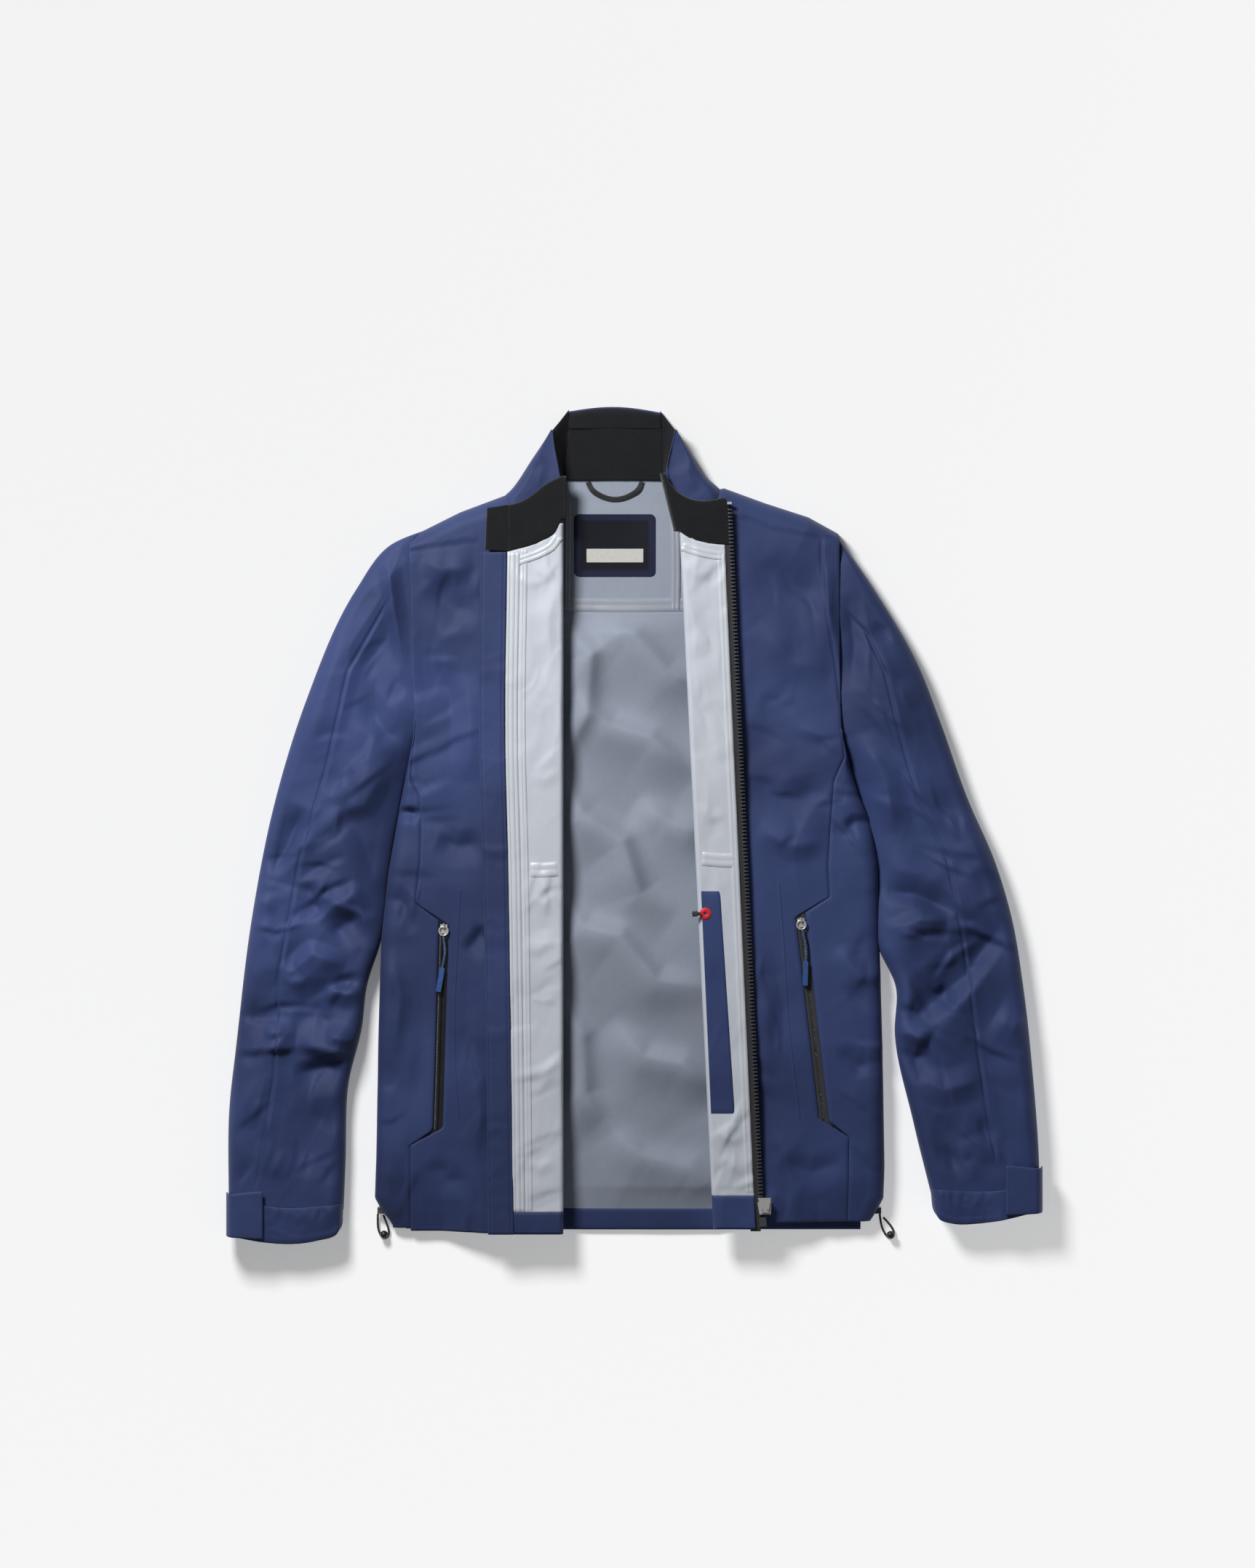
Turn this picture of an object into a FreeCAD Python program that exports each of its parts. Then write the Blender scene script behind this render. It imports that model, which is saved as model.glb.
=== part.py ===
import FreeCAD, Part
import math
import os
import Sketcher

# A foul weather jacket laid flat on its back with both fronts folded open.
# Millimetres. X runs from the wearer's right (negative) to the wearer's left, Y from the hem
# up to the collar, Z up from the face that the jacket lies on.

Vector = FreeCAD.Vector
doc = FreeCAD.newDocument("FoulWeatherJacket")
sheet = doc.addObject("Spreadsheet::Sheet", "Sizes")

SIZES = [
    # heights of the layers
    ("cloth", 2.4), ("torso_rise", 28), ("sleeve_rise", 38), ("lapel_gap", 6), ("trim", 1.2),
    ("running_gap", 0.3),
    # torso, seen from above
    ("side_seam", 213), ("armpit_level", 95), ("waist_half", 241), ("waist_level", -60),
    ("hem_half", 253), ("hem_side_level", -386), ("hem_corner", 14), ("hem_level", -404),
    ("yoke_level", 211), ("shoulder_level", 285), ("hem_facing", 21),
    # collar
    ("neck_right", -120), ("neck_left", 94), ("neck_level", 330), ("collar_seam", 342),
    ("collar_height", 73), ("collar_band", 23), ("collar_right", -68), ("collar_left", 34),
    ("front_neck_level", 298), ("collar_end_level", 270), ("collar_flap", 21),
    # the two fold lines of the fronts, and what lies on the folded fronts
    ("fold_right", 68), ("fold_left_top", 50), ("fold_left_bottom", 86), ("fold_top_level", 340),
    ("right_facing_width", 52), ("storm_flap_width", 26), ("seam_lap", 4),
    ("zip_top", 98.5), ("zip_bottom", 131), ("zip_top_level", 318), ("zip_tape_width", 8),
    ("tooth_pitch", 3.6), ("tooth_reach", 2.2), ("tooth_thick", 1.9), ("tooth_height", 4),
    ("stop_level", -386), ("retainer_length", 9), ("retainer_width", 7), ("right_zip_offset", 57),
    ("slider_length", 12), ("slider_wall", 1.1), ("puller_length", 14.3), ("puller_width", 12.7),
    ("puller_shoulder", 8), ("puller_neck", 4), ("puller_thick", 1.6), ("puller_pin", 0.45),
    ("pocket_panel_top", -66), ("pocket_panel_bottom", -285), ("pocket_panel_width", 18),
    ("eyelet_radius", 4.6), ("eyelet_level", -88), ("toggle_radius", 1.7), ("toggle_length", 7),
    # name label and hanging loop at the back of the neck
    ("label_right", -55), ("label_left", 26), ("label_bottom", 246), ("label_top", 308),
    ("label_corner", 5), ("loop_right", -45), ("loop_left", 17), ("loop_drop", 22),
    ("ribbon", 5), ("ribbon_thick", 1.4),
    # hand pockets
    ("window", 10), ("zip_pad", 5), ("coil", 2.4), ("pocket_slider_length", 9),
    ("pocket_slider_width", 7), ("pocket_slider_arch", 1.15), ("ring_radius", 4.4),
    ("ring_wire", 0.75), ("pull_cord", 1.25), ("pull_cord_length", 31), ("grip_length", 24),
    ("grip_width", 5), ("grip_height", 3.4), ("bag_width", 105), ("bag_depth", 70),
    ("bag_height", 5),
    # cuff tabs and hem pulls
    ("tab_length", 38), ("tab_lip", 22), ("patch_width", 20), ("hem_cord", 1.1),
    ("hem_ball", 4), ("guide_length", 12), ("guide_depth", 6),
]
# Hand pocket zips: distance in from the side seam and level, at the top and at the bottom.
POCKETS = {"right": (30, -99, 24, -302), "left": (44, -93, 21, -291)}
# Sleeves: outer edge beyond the side seam (first two) and beyond the hem, with the level of
# each point, then the inner edge beyond the side of the body, and the two ends of the cuff.
SLEEVE_OUTER = {
    "right": [(26, 275), (58, 232), (67, 123), (100, 15), (121, -93), (137, -223)],
    "left": [(3, 284), (30, 232), (42, 140), (82, 26), (126, -93), (147, -250)],
}
SLEEVE_INNER = {
    "right": [(4, -118), (18, -202), (29, -332)],
    "left": [(4, -123), (17, -207), (31, -294)],
}
CUFFS = {"right": (143, 32, -372, -411), "left": (153, 44, -358, -392)}
for side in ("right", "left"):
    names = ("pocket_top_inset", "pocket_top_level", "pocket_foot_inset", "pocket_foot_level")
    SIZES += [(f"{side}_{name}", size) for name, size in zip(names, POCKETS[side])]
    names = ("cuff_outer", "cuff_inner", "cuff_seam_level", "cuff_end_level")
    SIZES += [(f"{side}_{name}", size) for name, size in zip(names, CUFFS[side])]
    for edge, stations in (("outer", SLEEVE_OUTER[side]), ("inner", SLEEVE_INNER[side])):
        for number, (beyond, level) in enumerate(stations, 1):
            SIZES.append((f"{side}_sleeve_{edge}_{number}_beyond", beyond))
            SIZES.append((f"{side}_sleeve_{edge}_{number}_level", level))


class Size:
    """A number together with the spreadsheet formula that it comes from."""

    def __init__(self, value, formula):
        self.value = float(value)
        self.formula = formula

    def __add__(self, other):
        other = size_of(other)
        return Size(self.value + other.value, f"({self.formula} + {other.formula})")

    def __sub__(self, other):
        other = size_of(other)
        return Size(self.value - other.value, f"({self.formula} - {other.formula})")

    def __mul__(self, other):
        other = size_of(other)
        return Size(self.value * other.value, f"({self.formula} * {other.formula})")

    def __truediv__(self, other):
        other = size_of(other)
        return Size(self.value / other.value, f"({self.formula} / {other.formula})")

    def __neg__(self):
        return Size(-self.value, f"(0 - {self.formula})")


def size_of(number):
    """Let plain numbers mix with sizes."""
    return number if isinstance(number, Size) else Size(number, str(number))


S = {}
for row, (alias, number) in enumerate(SIZES, 1):
    sheet.set(f"A{row}", alias)
    sheet.set(f"B{row}", str(number))
    sheet.setAlias(f"B{row}", alias)
    S[alias] = Size(number, f"Sizes.{alias}")
doc.recompute()

SIGN = {"right": -1, "left": 1}
parts = []


# ------------------------------------------------------------------ ways of making a piece
def new_body(label, whole=True):
    """A body of its own for one piece of the jacket, or for part of a piece."""
    body = doc.addObject("PartDesign::Body", label.title().replace("_", ""))
    body.Label = label
    if whole:
        parts.append(body)
    return body


def outline(body, corners, level):
    """A closed outline of straight edges at one level, every corner tied to the sheet."""
    sketch = body.newObject("Sketcher::SketchObject", "Outline")
    plane = next(item for item in body.Origin.OriginFeatures if item.Role == "XY_Plane")
    sketch.AttachmentSupport = [(plane, "")]
    sketch.MapMode = "FlatFace"
    sketch.setExpression("AttachmentOffset.Base.z", size_of(level).formula)
    corners = [(size_of(x), size_of(y)) for x, y in corners]
    points = [Vector(x.value, y.value, 0) for x, y in corners]
    count = len(points)
    for number in range(count):
        sketch.addGeometry(Part.LineSegment(points[number], points[(number + 1) % count]), False)
    for number in range(count):
        sketch.addConstraint(Sketcher.Constraint("Coincident", number, 2, (number + 1) % count, 1))
    for number, corner in enumerate(corners):
        for kind, size in zip(("DistanceX", "DistanceY"), corner):
            index = sketch.addConstraint(Sketcher.Constraint(kind, -1, 1, number, 1, size.value))
            sketch.setExpression(f"Constraints[{index}]", size.formula)
    return sketch


def plate(body, corners, level, thickness):
    """Cloth or sheet of one thickness with the given outline, its underside at a level."""
    pad = body.newObject("PartDesign::Pad", "Plate")
    pad.Profile = outline(body, corners, level)
    pad.setExpression("Length", size_of(thickness).formula)
    return pad


def cut(body, corners, level, depth):
    """A hole with the given outline, from a level upward."""
    pocket = body.newObject("PartDesign::Pocket", "Hole")
    pocket.Profile = outline(body, corners, level)
    pocket.Reversed = True
    pocket.setExpression("Length", size_of(depth).formula)
    return pocket


def wall(body, edge, inward, level, height):
    """A standing strip along an edge, thickened towards the inside."""
    dx, dy = inward
    inner = [(x + dx, y + dy) for x, y in reversed(edge)]
    return plate(body, edge + inner, level, height)


def round_corners(body, pad, radius):
    """Round the upright edges of a plate."""
    doc.recompute()
    upright = [
        f"Edge{number}"
        for number, edge in enumerate(pad.Shape.Edges, 1)
        if abs(edge.tangentAt(edge.FirstParameter).z) > 0.99
    ]
    fillet = body.newObject("PartDesign::Fillet", "RoundCorners")
    fillet.Base = (pad, upright)
    fillet.setExpression("Radius", radius.formula)


def shape_part(label, shape, place):
    """A piece made directly from solids, with its place set after its shape."""
    piece = doc.addObject("Part::Feature", label.title().replace("_", ""))
    piece.Label = label
    piece.Shape = shape
    piece.Placement = place
    parts.append(piece)
    return piece


def primitive(kind, label, sizes):
    """A Part primitive with its sizes tied to the sheet."""
    piece = doc.addObject(f"Part::{kind}", label.title().replace("_", ""))
    piece.Label = label
    for name, size in sizes.items():
        piece.setExpression(name, size_of(size).formula)
    return piece


def place_at(piece, x, y, z, rotation=FreeCAD.Rotation()):
    """Put a primitive at a point that follows the sheet."""
    piece.Placement = FreeCAD.Placement(Vector(), rotation)
    for axis, size in (("x", x), ("y", y), ("z", z)):
        piece.setExpression(f"Placement.Base.{axis}", size_of(size).formula)


def rounded_route(points):
    """Straight runs joined by tangent arcs, each 0.45 of the shorter run on its tangents."""
    edges = []
    radii = []
    start = points[0]
    for before, corner, after in zip(points, points[1:], points[2:]):
        towards = (before - corner).normalize()
        away = (after - corner).normalize()
        reach = 0.45 * min((before - corner).Length, (after - corner).Length)
        half_turn = (math.pi - towards.getAngle(away)) / 2
        radius = reach / math.tan(half_turn)
        radii.append(round(radius, 1))
        enter = corner + towards * reach
        leave = corner + away * reach
        inward = (towards + away).normalize()
        middle = corner + inward * (radius / math.cos(half_turn) - radius)
        edges.append(Part.LineSegment(start, enter).toShape())
        edges.append(Part.Arc(enter, middle, leave).toShape())
        start = leave
    edges.append(Part.LineSegment(start, points[-1]).toShape())
    return Part.Wire(edges), radii


def cord_tube(label, points, radius):
    """A cord of round section swept along a rounded route."""
    path, radii = rounded_route(points)
    section = Part.Wire(Part.makeCircle(radius, points[0], points[1] - points[0]))
    tube = path.makePipeShell([section], True, False)
    expected = math.pi * radius ** 2 * path.Length
    print(label, "length", round(path.Length, 1), "radii", radii,
          "volume ratio", round(tube.Volume / expected, 4))
    return shape_part(label, Part.makeSolid(Part.Shell(tube.Faces)), FreeCAD.Placement())


def between(first, second, share):
    """The size that lies a share of the way from one size to another."""
    return first + (second - first) * share


# ------------------------------------------------------------------ lines that pieces share
cloth = S["cloth"]
torso_rise = S["torso_rise"]
panel_under = torso_rise - cloth
lapel_under = torso_rise + S["lapel_gap"]
lapel_top = lapel_under + cloth
hem = S["hem_level"]
seam = S["side_seam"]
facing_foot = hem + S["hem_facing"]


def side_edge(level):
    """Half width of the body at a level below the waist."""
    share = (S["waist_level"] - level) / (S["waist_level"] - S["hem_side_level"])
    return between(S["waist_half"], S["hem_half"], share)


def fold_left(level):
    """Where the wearer's left front is folded."""
    share = (S["fold_top_level"] - level) / (S["fold_top_level"] - hem)
    return between(S["fold_left_top"], S["fold_left_bottom"], share)


def zip_line(level):
    """Middle of the row of teeth on the wearer's left front."""
    share = (S["zip_top_level"] - level) / (S["zip_top_level"] - hem)
    return between(S["zip_top"], S["zip_bottom"], share)


# ------------------------------------------------------------------ back of the body
back = new_body("back_panel")
edge_right = [(-S["hem_half"], S["hem_side_level"]), (-S["waist_half"], S["waist_level"]),
              (-seam, S["armpit_level"])]
edge_left = [(-x, y) for x, y in reversed(edge_right)]
plate(back, [(S["hem_corner"] - S["hem_half"], hem)] + edge_right
      + [(-seam, S["yoke_level"]), (seam, S["yoke_level"])] + edge_left
      + [(S["hem_half"] - S["hem_corner"], hem)], 0, cloth)

yoke = new_body("back_yoke")
plate(yoke, [(-seam, S["yoke_level"]), (-seam, S["shoulder_level"]),
             (S["neck_right"], S["neck_level"]), (S["collar_right"], S["collar_seam"]),
             (S["collar_left"], S["collar_seam"]), (S["neck_left"], S["neck_level"]),
             (seam, S["shoulder_level"]), (seam, S["yoke_level"])], 0, cloth)

hem_band = new_body("back_hem_facing")
plate(hem_band, [(-S["fold_right"], hem), (-S["fold_right"], facing_foot),
                 (S["fold_left_bottom"], facing_foot), (S["fold_left_bottom"], hem)],
      cloth, S["trim"])

# ------------------------------------------------------------------ front and side panels
fronts = {
    "right": [(-S["fold_right"] - 1, hem), (-seam, hem), (-seam, S["shoulder_level"]),
              (S["neck_right"], S["neck_level"]), (-S["fold_right"] - 1, S["front_neck_level"])],
    "left": [(fold_left(hem) + 1, hem), (seam, hem), (seam, S["shoulder_level"]),
             (S["neck_left"], S["neck_level"]),
             (fold_left(S["front_neck_level"]) + 1, S["front_neck_level"])],
}
pocket_ends = {}
for side, sign in SIGN.items():
    top = ((seam - S[f"{side}_pocket_top_inset"]) * sign, S[f"{side}_pocket_top_level"])
    foot = ((seam - S[f"{side}_pocket_foot_inset"]) * sign, S[f"{side}_pocket_foot_level"])
    pocket_ends[side] = (top, foot)

    front = new_body(f"{side}_front_panel")
    plate(front, fronts[side], panel_under, cloth)
    wall(front, fronts[side][2:4], (0, -cloth), cloth, panel_under - cloth)
    half = S["window"] / 2
    cut(front, [(top[0] - half, top[1]), (top[0] + half, top[1]),
                (foot[0] + half, foot[1]), (foot[0] - half, foot[1])], panel_under, cloth)

    flank = new_body(f"{side}_side_panel")
    outer = edge_right if side == "right" else list(reversed(edge_left))
    plate(flank, [(seam * sign, hem)] + [((S["hem_half"] - S["hem_corner"] + 1) * sign, hem)]
          + outer, panel_under, cloth)
    wall(flank, outer, (cloth * -sign, size_of(0)), cloth, panel_under - cloth)

# ------------------------------------------------------------------ sleeves and cuffs
patches = []
for side, sign in SIGN.items():
    outer = []
    for number in range(1, len(SLEEVE_OUTER[side]) + 1):
        start = seam if number < 3 else S["hem_half"]
        beyond = start + S[f"{side}_sleeve_outer_{number}_beyond"]
        outer.append((beyond * sign, S[f"{side}_sleeve_outer_{number}_level"]))
    seam_level = S[f"{side}_cuff_seam_level"]
    cuff_out = (S["hem_half"] + S[f"{side}_cuff_outer"]) * sign
    cuff_in = (S["hem_half"] + S[f"{side}_cuff_inner"]) * sign
    outer.append((cuff_out, seam_level))
    inner = [((seam + 1) * sign, S["armpit_level"]),
             ((S["waist_half"] + 1) * sign, S["waist_level"])]
    for number in range(1, len(SLEEVE_INNER[side]) + 1):
        level = S[f"{side}_sleeve_inner_{number}_level"]
        beyond = side_edge(level) + S[f"{side}_sleeve_inner_{number}_beyond"]
        inner.append((beyond * sign, level))
    inner.append((cuff_in, seam_level))
    armhole = [((seam + 1) * sign, S["shoulder_level"])]

    under = new_body(f"{side}_sleeve_under")
    plate(under, armhole + outer + list(reversed(inner)), 0, cloth)
    upper = new_body(f"{side}_sleeve_upper")
    plate(upper, armhole + outer + list(reversed(inner)), S["sleeve_rise"] - cloth, cloth)
    wall(upper, outer, (cloth * -sign, size_of(0)), cloth, S["sleeve_rise"] - cloth * 2)
    wall(upper, inner, (cloth * sign, size_of(0)), cloth, S["sleeve_rise"] - cloth * 2)

    end_level = S[f"{side}_cuff_end_level"]
    outer_edge = [(cuff_out, seam_level), (cuff_out, end_level)]
    inner_edge = [(cuff_in, seam_level), (cuff_in, end_level)]
    band = outer_edge + list(reversed(inner_edge))
    cuff = new_body(f"{side}_cuff")
    plate(cuff, band, 0, cloth)
    wall(cuff, outer_edge, (cloth * -sign, size_of(0)), cloth, S["sleeve_rise"] - cloth * 2)
    wall(cuff, inner_edge, (cloth * sign, size_of(0)), cloth, S["sleeve_rise"] - cloth * 2)
    plate(cuff, band, S["sleeve_rise"] - cloth, cloth)

    # the adjusting tab, sewn down along the front seam and wrapped round the outer edge
    free = cuff_out + (S["running_gap"] + cloth) * sign
    sewn = cuff_out - (S["tab_length"] - S["running_gap"] - cloth) * sign
    tab_level = S["sleeve_rise"] + S["trim"] + S["running_gap"]
    tab_top = seam_level - 1
    tab_foot = end_level + 5
    tab = new_body(f"{side}_cuff_tab")
    plate(tab, [(free, tab_top), (sewn, tab_top), (sewn, tab_foot), (free, tab_foot)],
          tab_level, cloth)
    lip_inner = cuff_out + S["running_gap"] * sign
    plate(tab, [(free, tab_top), (lip_inner, tab_top), (lip_inner, tab_foot), (free, tab_foot)],
          tab_level - S["tab_lip"], S["tab_lip"])

    patch_out = cuff_out - cloth * sign
    patch = Part.makeBox(S["patch_width"].value, (seam_level - end_level).value - 12,
                         S["trim"].value)
    corner_x = min(patch_out.value, patch_out.value - S["patch_width"].value * sign)
    patches.append(patch.translate(Vector(corner_x, end_level.value + 8, S["sleeve_rise"].value)))
shape_part("cuff_patches", Part.makeCompound(patches), FreeCAD.Placement())

# ------------------------------------------------------------------ standing collar
collar_top = S["collar_seam"] + S["collar_height"]
band_foot = collar_top - S["collar_band"]
shell = new_body("collar_outer_back")
plate(shell, [(S["collar_right"], S["collar_seam"]), (S["collar_right"] + 8, collar_top),
              (S["collar_left"] - 4, collar_top), (S["collar_left"], S["collar_seam"])], 0, cloth)
fleece_right = S["collar_right"] + 3
fleece_left = S["collar_left"] - 2
fleece = new_body("collar_fleece_back")
plate(fleece, [(fleece_right, S["collar_seam"]), (fleece_right + 3, band_foot),
               (fleece_left, band_foot), (fleece_left, S["collar_seam"])], cloth, cloth * 2)
band = new_body("collar_top_band")
plate(band, [(fleece_right + 3, band_foot), (fleece_right + 5, collar_top),
             (fleece_left - 2, collar_top), (fleece_left, band_foot)], cloth, cloth * 2)
fold_tops = {"right": -S["fold_right"] - 1, "left": fold_left(S["front_neck_level"]) + 1}
for side, sign in SIGN.items():
    turn = S[f"collar_{side}"]
    flare = new_body(f"{side}_collar_side")
    plate(flare, [(S[f"neck_{side}"], S["neck_level"]), (fold_tops[side], S["front_neck_level"]),
                  (fold_tops[side], S["collar_seam"]), (turn, collar_top - 6),
                  (turn + 10 * sign, band_foot)], panel_under, cloth)

# ------------------------------------------------------------------ label and hanging loop
label = new_body("name_label")
label_pad = plate(label, [(S["label_right"], S["label_bottom"]), (S["label_right"], S["label_top"]),
                          (S["label_left"], S["label_top"]), (S["label_left"], S["label_bottom"])],
                  cloth, S["trim"])
round_corners(label, label_pad, S["label_corner"])

loop_foot = S["collar_seam"] - S["loop_drop"]
loop_shift = S["loop_drop"] / 2
loop = new_body("locker_loop")
loop_top = S["collar_seam"] - 1
ribbon = S["ribbon"]
plate(loop, [(S["loop_right"], loop_top), (S["loop_right"] + ribbon, loop_top),
             (S["loop_right"] + loop_shift + ribbon, loop_foot + ribbon),
             (S["loop_left"] - loop_shift - ribbon, loop_foot + ribbon),
             (S["loop_left"] - ribbon, loop_top), (S["loop_left"], loop_top),
             (S["loop_left"] - loop_shift, loop_foot), (S["loop_right"] + loop_shift, loop_foot)],
      cloth + S["running_gap"], S["ribbon_thick"])

# ------------------------------------------------------------------ wearer's right front, folded
inner_right = -S["fold_right"] - 1
flap_seam = -S["fold_right"] - S["right_facing_width"]
end_foot = S["collar_end_level"]
facing = new_body("right_facing")
plate(facing, [(inner_right, S["front_neck_level"]), (flap_seam, end_foot),
               (flap_seam, facing_foot), (inner_right, facing_foot)], lapel_under, cloth)
facing_hem = new_body("right_facing_hem")
plate(facing_hem, [(inner_right, facing_foot), (flap_seam, facing_foot), (flap_seam, hem),
                   (inner_right, hem)], lapel_under, cloth)
flap = new_body("storm_flap")
flap_outer = flap_seam - S["storm_flap_width"]
plate(flap, [(flap_seam + S["seam_lap"], end_foot - 3), (flap_outer, end_foot - 3),
             (flap_outer, hem), (flap_seam + S["seam_lap"], hem)], lapel_top, cloth)
end_outer = flap_seam - S["collar_flap"]
right_end = new_body("right_collar_end")
plate(right_end, [(inner_right, S["collar_seam"] - 2), (flap_seam, S["collar_seam"] - 20),
                  (flap_seam, end_foot), (inner_right, S["front_neck_level"])],
      lapel_under, cloth * 1.5)
end_flap = new_body("right_collar_flap")
plate(end_flap, [(flap_seam, S["collar_seam"] - 20), (end_outer, S["collar_seam"] - 27),
                 (end_outer, end_foot), (flap_seam, end_foot)], lapel_under, cloth * 1.5)

# ------------------------------------------------------------------ wearer's left front, folded
tape_width = S["zip_tape_width"]


def left_strip(label, from_fold, to_zip, top, foot, level, thickness):
    """A piece of the left front between a distance from the fold and one from the zip."""
    body = new_body(label)
    plate(body, [(fold_left(top) + from_fold, top), (zip_line(top) - to_zip, top),
                 (zip_line(foot) - to_zip, foot), (fold_left(foot) + from_fold, foot)],
          level, thickness)
    return body


left_strip("left_facing", 1, tape_width, end_foot + 6, facing_foot, lapel_under, cloth)
left_strip("left_facing_hem", 1, tape_width, facing_foot, hem, lapel_under, cloth)
left_end = new_body("left_collar_end")
plate(left_end, [(fold_left(end_foot + 6) + 1, end_foot + 6),
                 (fold_left(S["collar_seam"] - 2) + 1, S["collar_seam"] - 2),
                 (zip_line(S["zip_top_level"]) - tape_width, S["zip_top_level"]),
                 (zip_line(end_foot + 6) - tape_width, end_foot + 6)], lapel_under, cloth * 1.5)

panel = new_body("inner_pocket")
panel_top = S["pocket_panel_top"]
panel_foot = S["pocket_panel_bottom"]
plate(panel, [(fold_left(panel_top) + 1, panel_top),
              (fold_left(panel_top) + S["pocket_panel_width"], panel_top),
              (fold_left(panel_foot) + S["pocket_panel_width"], panel_foot),
              (fold_left(panel_foot) + 1, panel_foot)], lapel_top, S["trim"])

eyelet_middle = (fold_left(S["eyelet_level"]) + 1 + S["eyelet_radius"], S["eyelet_level"])
eyelet_rise = lapel_top + S["trim"]
ring_outer = primitive("Cylinder", "eyelet_disc", {"Radius": S["eyelet_radius"],
                                                   "Height": S["trim"]})
ring_inner = primitive("Cylinder", "eyelet_bore", {"Radius": S["toggle_radius"] * 0.75,
                                                   "Height": S["trim"]})
for disc in (ring_outer, ring_inner):
    place_at(disc, eyelet_middle[0], eyelet_middle[1], eyelet_rise)
eyelet = doc.addObject("Part::Cut", "PocketEyelet")
eyelet.Label = "pocket_eyelet"
eyelet.Base = ring_outer
eyelet.Tool = ring_inner
parts.append(eyelet)

toggle_gap = S["running_gap"] * 2
toggle = primitive("Cylinder", "pocket_toggle", {"Radius": S["toggle_radius"],
                                                 "Height": S["toggle_length"]})
place_at(toggle, fold_left(S["eyelet_level"]) - 1, S["eyelet_level"],
         eyelet_rise + S["trim"] + S["toggle_radius"] + toggle_gap,
         FreeCAD.Rotation(Vector(0, 1, 0), -90))
parts.append(toggle)

# ------------------------------------------------------------------ main zip
tape_under = lapel_under - S["trim"]
tape_foot = hem + 2


def tooth_solid(reach, thick, height):
    """One moulded tooth: a block that grips the tape, with a narrower head."""
    grip = Part.makeBox(reach, thick, height, Vector(-reach, -thick / 2, -height / 2))
    head = Part.makeBox(reach, thick * 0.62, height * 0.7,
                        Vector(0, -thick * 0.31, -height * 0.35))
    return grip.fuse(head).removeSplitter()


def teeth_row(label, x_at, direction, level):
    """A row of teeth from just above the retainer up to the top of the zip."""
    tooth = tooth_solid(S["tooth_reach"].value, S["tooth_thick"].value, S["tooth_height"].value)
    foot = Vector(x_at(S["stop_level"]).value, S["stop_level"].value, level.value)
    top = Vector(x_at(S["zip_top_level"]).value, S["zip_top_level"].value, level.value)
    along = (top - foot).normalize()
    turn = FreeCAD.Rotation(Vector(0, 1, 0), along)
    if direction < 0:
        turn = turn.multiply(FreeCAD.Rotation(Vector(0, 1, 0), 180))
    count = int(((top - foot).Length - 4) / S["tooth_pitch"].value)
    row = []
    for number in range(count):
        copy = tooth.copy()
        spot = foot + along * (S["tooth_pitch"].value * (number + 0.5))
        copy.Placement = FreeCAD.Placement(spot, turn)
        row.append(copy)
    return shape_part(label, Part.makeCompound(row), FreeCAD.Placement())


tape_middle = lapel_under + S["trim"]
left_tape = new_body("left_zip_tape")
tape_inner = S["tooth_reach"] + S["running_gap"]
plate(left_tape, [(zip_line(S["zip_top_level"]) - tape_width, S["zip_top_level"]),
                  (zip_line(S["zip_top_level"]) - tape_inner, S["zip_top_level"]),
                  (zip_line(tape_foot) - tape_inner, tape_foot),
                  (zip_line(tape_foot) - tape_width, tape_foot)],
      tape_middle - S["trim"] / 2, S["trim"])
teeth_row("left_zip_teeth", zip_line, 1, tape_middle)


# the hidden half of the zip on the wearer's right front
right_line = -S["fold_right"] - S["right_zip_offset"]
right_tape = new_body("right_zip_tape")
tape_outer = right_line + tape_inner
plate(right_tape, [(tape_outer, end_foot - 4), (tape_outer + tape_width * 2, end_foot - 4),
                   (tape_outer + tape_width * 2, tape_foot), (tape_outer, tape_foot)],
      tape_under, S["trim"])
row_foot = Vector(right_line.value, S["stop_level"].value, (tape_under + S["trim"] / 2).value)
row = []
tooth = tooth_solid(S["tooth_reach"].value, S["tooth_thick"].value, S["tooth_height"].value)
row_length = (end_foot - 6 - S["stop_level"]).value
for number in range(int(row_length / S["tooth_pitch"].value)):
    copy = tooth.copy()
    spot = row_foot + Vector(0, S["tooth_pitch"].value * (number + 0.5), 0)
    copy.Placement = FreeCAD.Placement(spot, FreeCAD.Rotation(Vector(0, 1, 0), 180))
    row.append(copy)
shape_part("right_zip_teeth", Part.makeCompound(row), FreeCAD.Placement())

pin = primitive("Cylinder", "zip_insertion_pin", {"Radius": S["trim"], "Height":
                                                  S["retainer_length"] + 3})
place_at(pin, right_line, S["stop_level"] - S["retainer_length"] - 4,
         tape_under + S["trim"] / 2, FreeCAD.Rotation(Vector(1, 0, 0), -90))
parts.append(pin)

stop = primitive("Box", "zip_top_stop", {"Length": S["tooth_reach"] * 2,
                                         "Width": S["trim"] * 2, "Height": S["tooth_height"]})
place_at(stop, zip_line(S["zip_top_level"]) - S["tooth_reach"], S["zip_top_level"] - 3,
         tape_middle - S["tooth_height"] / 2)
parts.append(stop)

retainer = new_body("zip_retainer_box")
retainer_top = S["stop_level"] - 1
retainer_foot = retainer_top - S["retainer_length"]
plate(retainer, [
    (zip_line(retainer_top) - tape_inner, retainer_top),
    (zip_line(retainer_top) - tape_inner + S["retainer_width"], retainer_top),
    (zip_line(retainer_foot) - tape_inner + S["retainer_width"], retainer_foot),
    (zip_line(retainer_foot) - tape_inner, retainer_foot),
], tape_middle - S["tooth_height"] / 2, S["tooth_height"])

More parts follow.
